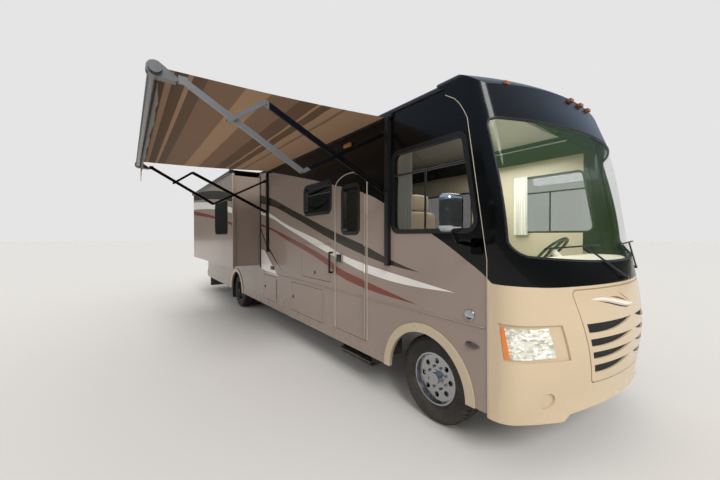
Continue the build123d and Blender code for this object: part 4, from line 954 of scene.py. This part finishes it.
# %% Badge places and side markers
badge_profile = ((0.0, 0.006), (0.036, 0.006), (0.041, 0.0085), (0.047, 0.006), (0.047, 0.0))
marker_half, marker_taper = (0.066, 0.018, 0.027), 0.35
badge_x, badge_z, marker_x, marker_z = 0.509, 1.179, 0.537, 0.933
for side, name in sides:
    face = side * half_width
    turned("badge_place_" + name, at(badge_x, face, badge_z), Vector((0, side, 0)), badge_profile,
           finishes["chrome"], name + "_wall")
    bm = bmesh.new()
    bmesh.ops.create_uvsphere(bm, u_segments=32, v_segments=16, radius=1.0)
    marker_middle = at(marker_x, face, marker_z)
    for point in bm.verts:
        x, y, z = point.co
        narrow = 1.0 - marker_taper * x
        point.co = marker_middle + Vector((x * marker_half[0], y * marker_half[1],
                                           z * marker_half[2] * narrow))
    marker = as_object(bm, "side_marker_" + name)
    smoked = finish("marker glass " + name, paint(62, 50, 44), 0.08, Coat_Weight=1.0)
    dress(marker, smoked, name + "_skirt")
print("faces of one side marker:", len(marker.data.polygons))

# %% [markdown]
# The curtains are gathered cloth: a sheet that is wider than the room it hangs in, pressed into folds that
# deepen towards its foot. Its flat width is the length of one row of points, measured along the folds.

# %% Cockpit curtains
curtain_columns, curtain_folds = 90, 5.5
curtain_back, curtain_width = -0.455, 0.20
curtain_inset, curtain_top, curtain_drop = 0.105, 2.70, 0.86

for side, name in sides:
    def curtain_point(u, v, side=side):
        """u runs forward, v down the cloth."""
        fold = math.sin(u * 2 * math.pi * curtain_folds)
        depth = 0.011 + 0.008 * v
        along = curtain_back + curtain_width * u + 0.012 * v * math.sin(u * 9)
        y = side * (half_width - curtain_inset + depth * fold)
        return at(along, y, curtain_top - curtain_drop * v)
    curtain = grid_piece("curtain_" + name, curtain_columns, 24, curtain_point)
    dress(curtain, curtain_finish, name + "_wall")

# %% [markdown]
# The cab seats are padded leather: a cushion, a back and a small headrest on a plain box. A cushion is a
# cube cut into a grid. Its middle swells, its corners are pulled in, and a subdivision surface rounds it,
# which is enough for something that is only seen through tinted glass.

# %% Cab seats
leather = finish("seat leather", paint(186, 168, 140), 0.42, grain=260.0, spread=0.1, bump=0.0012)
corner_pull, core_share = 0.05, 0.78

def cushion(name, low, high, crown, axis):
    """A closed padded form that swells along one axis in its middle and pulls in at its corners."""
    bm = bmesh.new()
    bmesh.ops.create_cube(bm, size=1.0)
    bmesh.ops.subdivide_edges(bm, edges=bm.edges[:], cuts=5, use_grid_fill=True)
    middle = (low + high) / 2
    for corner in bm.verts:
        shares = [corner.co[i] * 2 for i in range(3)]
        first, second = (shares[i] for i in range(3) if i != axis)
        swell = (1 - first**2) * (1 - second**2)
        pull = 1 - corner_pull * (first * second)**2
        shrink = [core_share if i == axis else pull for i in range(3)]
        spot = [middle[i] + corner.co[i] * (high[i] - low[i]) * shrink[i] for i in range(3)]
        if abs(shares[axis]) > 0.99:
            spot[axis] += math.copysign(crown * swell, shares[axis])
        corner.co = Vector(spot)
    piece = dress(as_object(bm, name), leather, "cab_seats")
    rounding = piece.modifiers.new("rounding", "SUBSURF")
    rounding.levels = rounding.render_levels = 2
    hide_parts("cab_seats")

seat_offset = 0.70
# Two corners as x, distance from the seat's middle and z, then the swell and the axis it follows
seat_pieces = (("seat_cushion_", (-0.62, -0.27, 1.335), (-0.06, 0.27, 1.49), 0.014, 2),
               ("seat_back_", (-0.70, -0.26, 1.44), (-0.56, 0.26, 2.12), 0.012, 0),
               ("seat_head_", (-0.70, -0.15, 2.13), (-0.58, 0.15, 2.32), 0.008, 0))
for side, name in sides:
    y = side * seat_offset
    for label, (x0, out0, z0), (x1, out1, z1), crown, axis in seat_pieces:
        cushion(label + name, at(x0, y + out0, z0), at(x1, y + out1, z1), crown, axis)
    base = rounded_box("seat_base_" + name, at(-0.56, y - 0.18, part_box("cab_seats")[0].z + 0.001),
                       at(-0.06, y + 0.18, 1.345), 0.02, finishes["dark_coating"], "cab_seats")
    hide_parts("cab_seats")
print("pieces in each seat:", len(seat_pieces) + 1)

# %% [markdown]
# The slide-out room has a seal where it meets the wall, a pale corner strip and a window of its own. The
# window is one flat pane, so it is a single face with rounded corners that a Solidify modifier thickens.

# %% Slide-out room details
room_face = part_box("slide_room")[0].y - axle.y
corner_x, corner_y, corner_foot, corner_head = -4.577, room_face + 0.004, 1.175, 3.08
seal_x, seal_y, seal_foot, seal_head = -4.566, -half_width - 0.002, 1.16, 3.07
straight_bead("slide_corner_trim", (corner_x, corner_y, corner_foot), (corner_x, corner_y, corner_head),
              0.008, trim_light, "slide_room")
straight_bead("slide_seal", (seal_x, seal_y, seal_foot), (seal_x, seal_y, seal_head), 0.012, rubber,
              "right_wall")

pane_back, pane_front, pane_low, pane_high = -6.14, -4.96, 1.86, 2.59
pane_corner, corner_steps = 0.1, 8
pane_lift, frame_lift, frame_radius = 0.008, 0.005, 0.009

def pane_outline(y):
    """Points round the window, with a quarter circle at each corner."""
    back, front = pane_back + pane_corner, pane_front - pane_corner
    low, high = pane_low + pane_corner, pane_high - pane_corner
    points = []
    for x, z, first in ((front, high, 0), (back, high, 90), (back, low, 180), (front, low, 270)):
        for step in range(corner_steps + 1):
            turn = math.radians(first + step * 90 / corner_steps)
            points.append(at(x + pane_corner * math.cos(turn), y, z + pane_corner * math.sin(turn)))
    return points

bm = bmesh.new()
bm.faces.new([bm.verts.new(point) for point in pane_outline(room_face + pane_lift)])
bmesh.ops.recalc_face_normals(bm, faces=bm.faces)
pane = as_object(bm, "slide_pane")
pane_finish = finish("dark pane", paint(7, 8, 9), 0.05, Specular_IOR_Level=0.4)
dress(pane, pane_finish, "slide_room", smooth=False)
thick = pane.modifiers.new("thick", "SOLIDIFY")
thick.thickness = 0.004
thick.offset = 0
bead("slide_pane_frame", pane_outline(room_face + frame_lift), frame_radius, trim_black, "slide_room",
     True)
print("points round the pane:", len(pane.data.vertices))

# %% [markdown]
# Gas struts hold the awning's arms open. The awning doesn't fold here, so a strut needs no rod that
# slides in a tube: it is one plain round bar in the arms' own plane.

# %% Gas struts
strut_places, strut_radius = (-0.505, -4.123), 0.011
strut_foot, strut_head = (-1.40, 2.33), (-1.85, 2.548)
for number, x in enumerate(strut_places):
    straight_bead("gas_strut_%d" % number, (x, *strut_foot), (x, *strut_head), strut_radius, trim_black,
                  "awning_arms")
print("struts:", len(strut_places))

# %% [markdown]
# The floor is a plain pale plane, large enough to reach the horizon and catch the vehicle's shadow. It
# isn't part of the vehicle, so it rides on none of its bodies.

# %% Floor
bm = bmesh.new()
bmesh.ops.create_grid(bm, x_segments=1, y_segments=1, size=120)
floor = as_object(bm, "studio_floor")
floor.data.materials.append(finish("floor", paint(214, 211, 206), 0.9, grain=2.0))
print("stage:", floor.name)

# %% [markdown]
# The camera and the matt faces see a plain bright studio. Only what is mirrored in gloss paint, glass and
# chrome is graded: pale ground, a dark horizon and a blue-white sky. One broad sun is the key light, and a
# small panel lights the cab as the daylight through its many windows would.

# %% The studio that gloss reflects
studio_white, studio_strength = (0.92, 0.92, 0.92, 1), 0.85
ground_low, sky_high = (0.20, 0.19, 0.18, 1), (0.78, 0.88, 1.0, 1)
# The height of each further colour, from 0 straight down to 1 straight up
sky_steps = ((0.46, (0.34, 0.32, 0.30, 1)), (0.495, (0.05, 0.05, 0.04, 1)), (0.56, (0.07, 0.08, 0.07, 1)),
             (0.60, (0.36, 0.42, 0.50, 1)), (0.75, (0.45, 0.56, 0.74, 1)))
world = bpy.data.worlds.new("studio")
bpy.context.scene.world = world
world.use_nodes = True
sky = world.node_tree
background = sky.nodes["Background"]
background.inputs["Strength"].default_value = studio_strength
height = coordinates(sky, "Generated")["Z"]
fade = add_node(sky, "ShaderNodeValToRGB")
sky.links.new(remap(sky, height, -1.0, 1.0), fade.inputs["Fac"])
shades = fade.color_ramp.elements
shades[0].position, shades[0].color = 0.0, ground_low
shades[1].position, shades[1].color = 1.0, sky_high
for place, colour in sky_steps:
    shades.new(place).color = colour
mirrored = add_node(sky, "ShaderNodeLightPath").outputs["Is Glossy Ray"]
seen = blend_colours(sky, mirrored, studio_white, fade.outputs["Color"])
sky.links.new(seen, background.inputs["Color"])
print("colours in the sky:", len(shades))

# %% Sun and cab light
sun_strength, sun_spread, sun_direction = 2.0, math.radians(25), Vector((-0.75, 0.25, -0.7))
panel_strength, panel_width, panel_length = 46, 1.3, 1.9

def add_light(name, kind, energy):
    light = bpy.data.lights.new(name, kind)
    light.energy = energy
    return linked(name, light), light

sun, sun_light = add_light("key", "SUN", sun_strength)
sun_light.angle = sun_spread
sun.rotation_euler = sun_direction.to_track_quat("-Z", "Y").to_euler()

panel, panel_light = add_light("cab fill", "AREA", panel_strength)
panel_light.shape = "RECTANGLE"
panel_light.size = panel_width
panel_light.size_y = panel_length
panel.location = at(-0.5, 0.0, 2.88)
print("lights:", sun.name, "and", panel.name)

# %% [markdown]
# The camera has the photograph's viewpoint, ahead of the right front corner at eye height, and a wide
# lens. Its place and direction were solved from the wheel's size and the body's straight edges. It looks
# down by less than a degree, so that upright edges stay upright.

# %% Camera
camera_place = at(2.10, -3.56, 1.83)
tilt_down = math.radians(0.77)
view_direction = Vector((-0.8084, 0.5886, -math.tan(tilt_down)))
camera_data = bpy.data.cameras.new("camera")
camera_data.lens = 16
camera_data.sensor_width = 36
camera_data.clip_end = 400
camera = linked("camera", camera_data)
camera.location = camera_place
camera.rotation_euler = view_direction.to_track_quat("-Z", "Y").to_euler()
bpy.context.scene.camera = camera
bpy.context.scene.view_settings.view_transform = "Standard"
print("camera height:", round(camera_place.z, 2))

# %% Last update
bpy.context.view_layer.update()
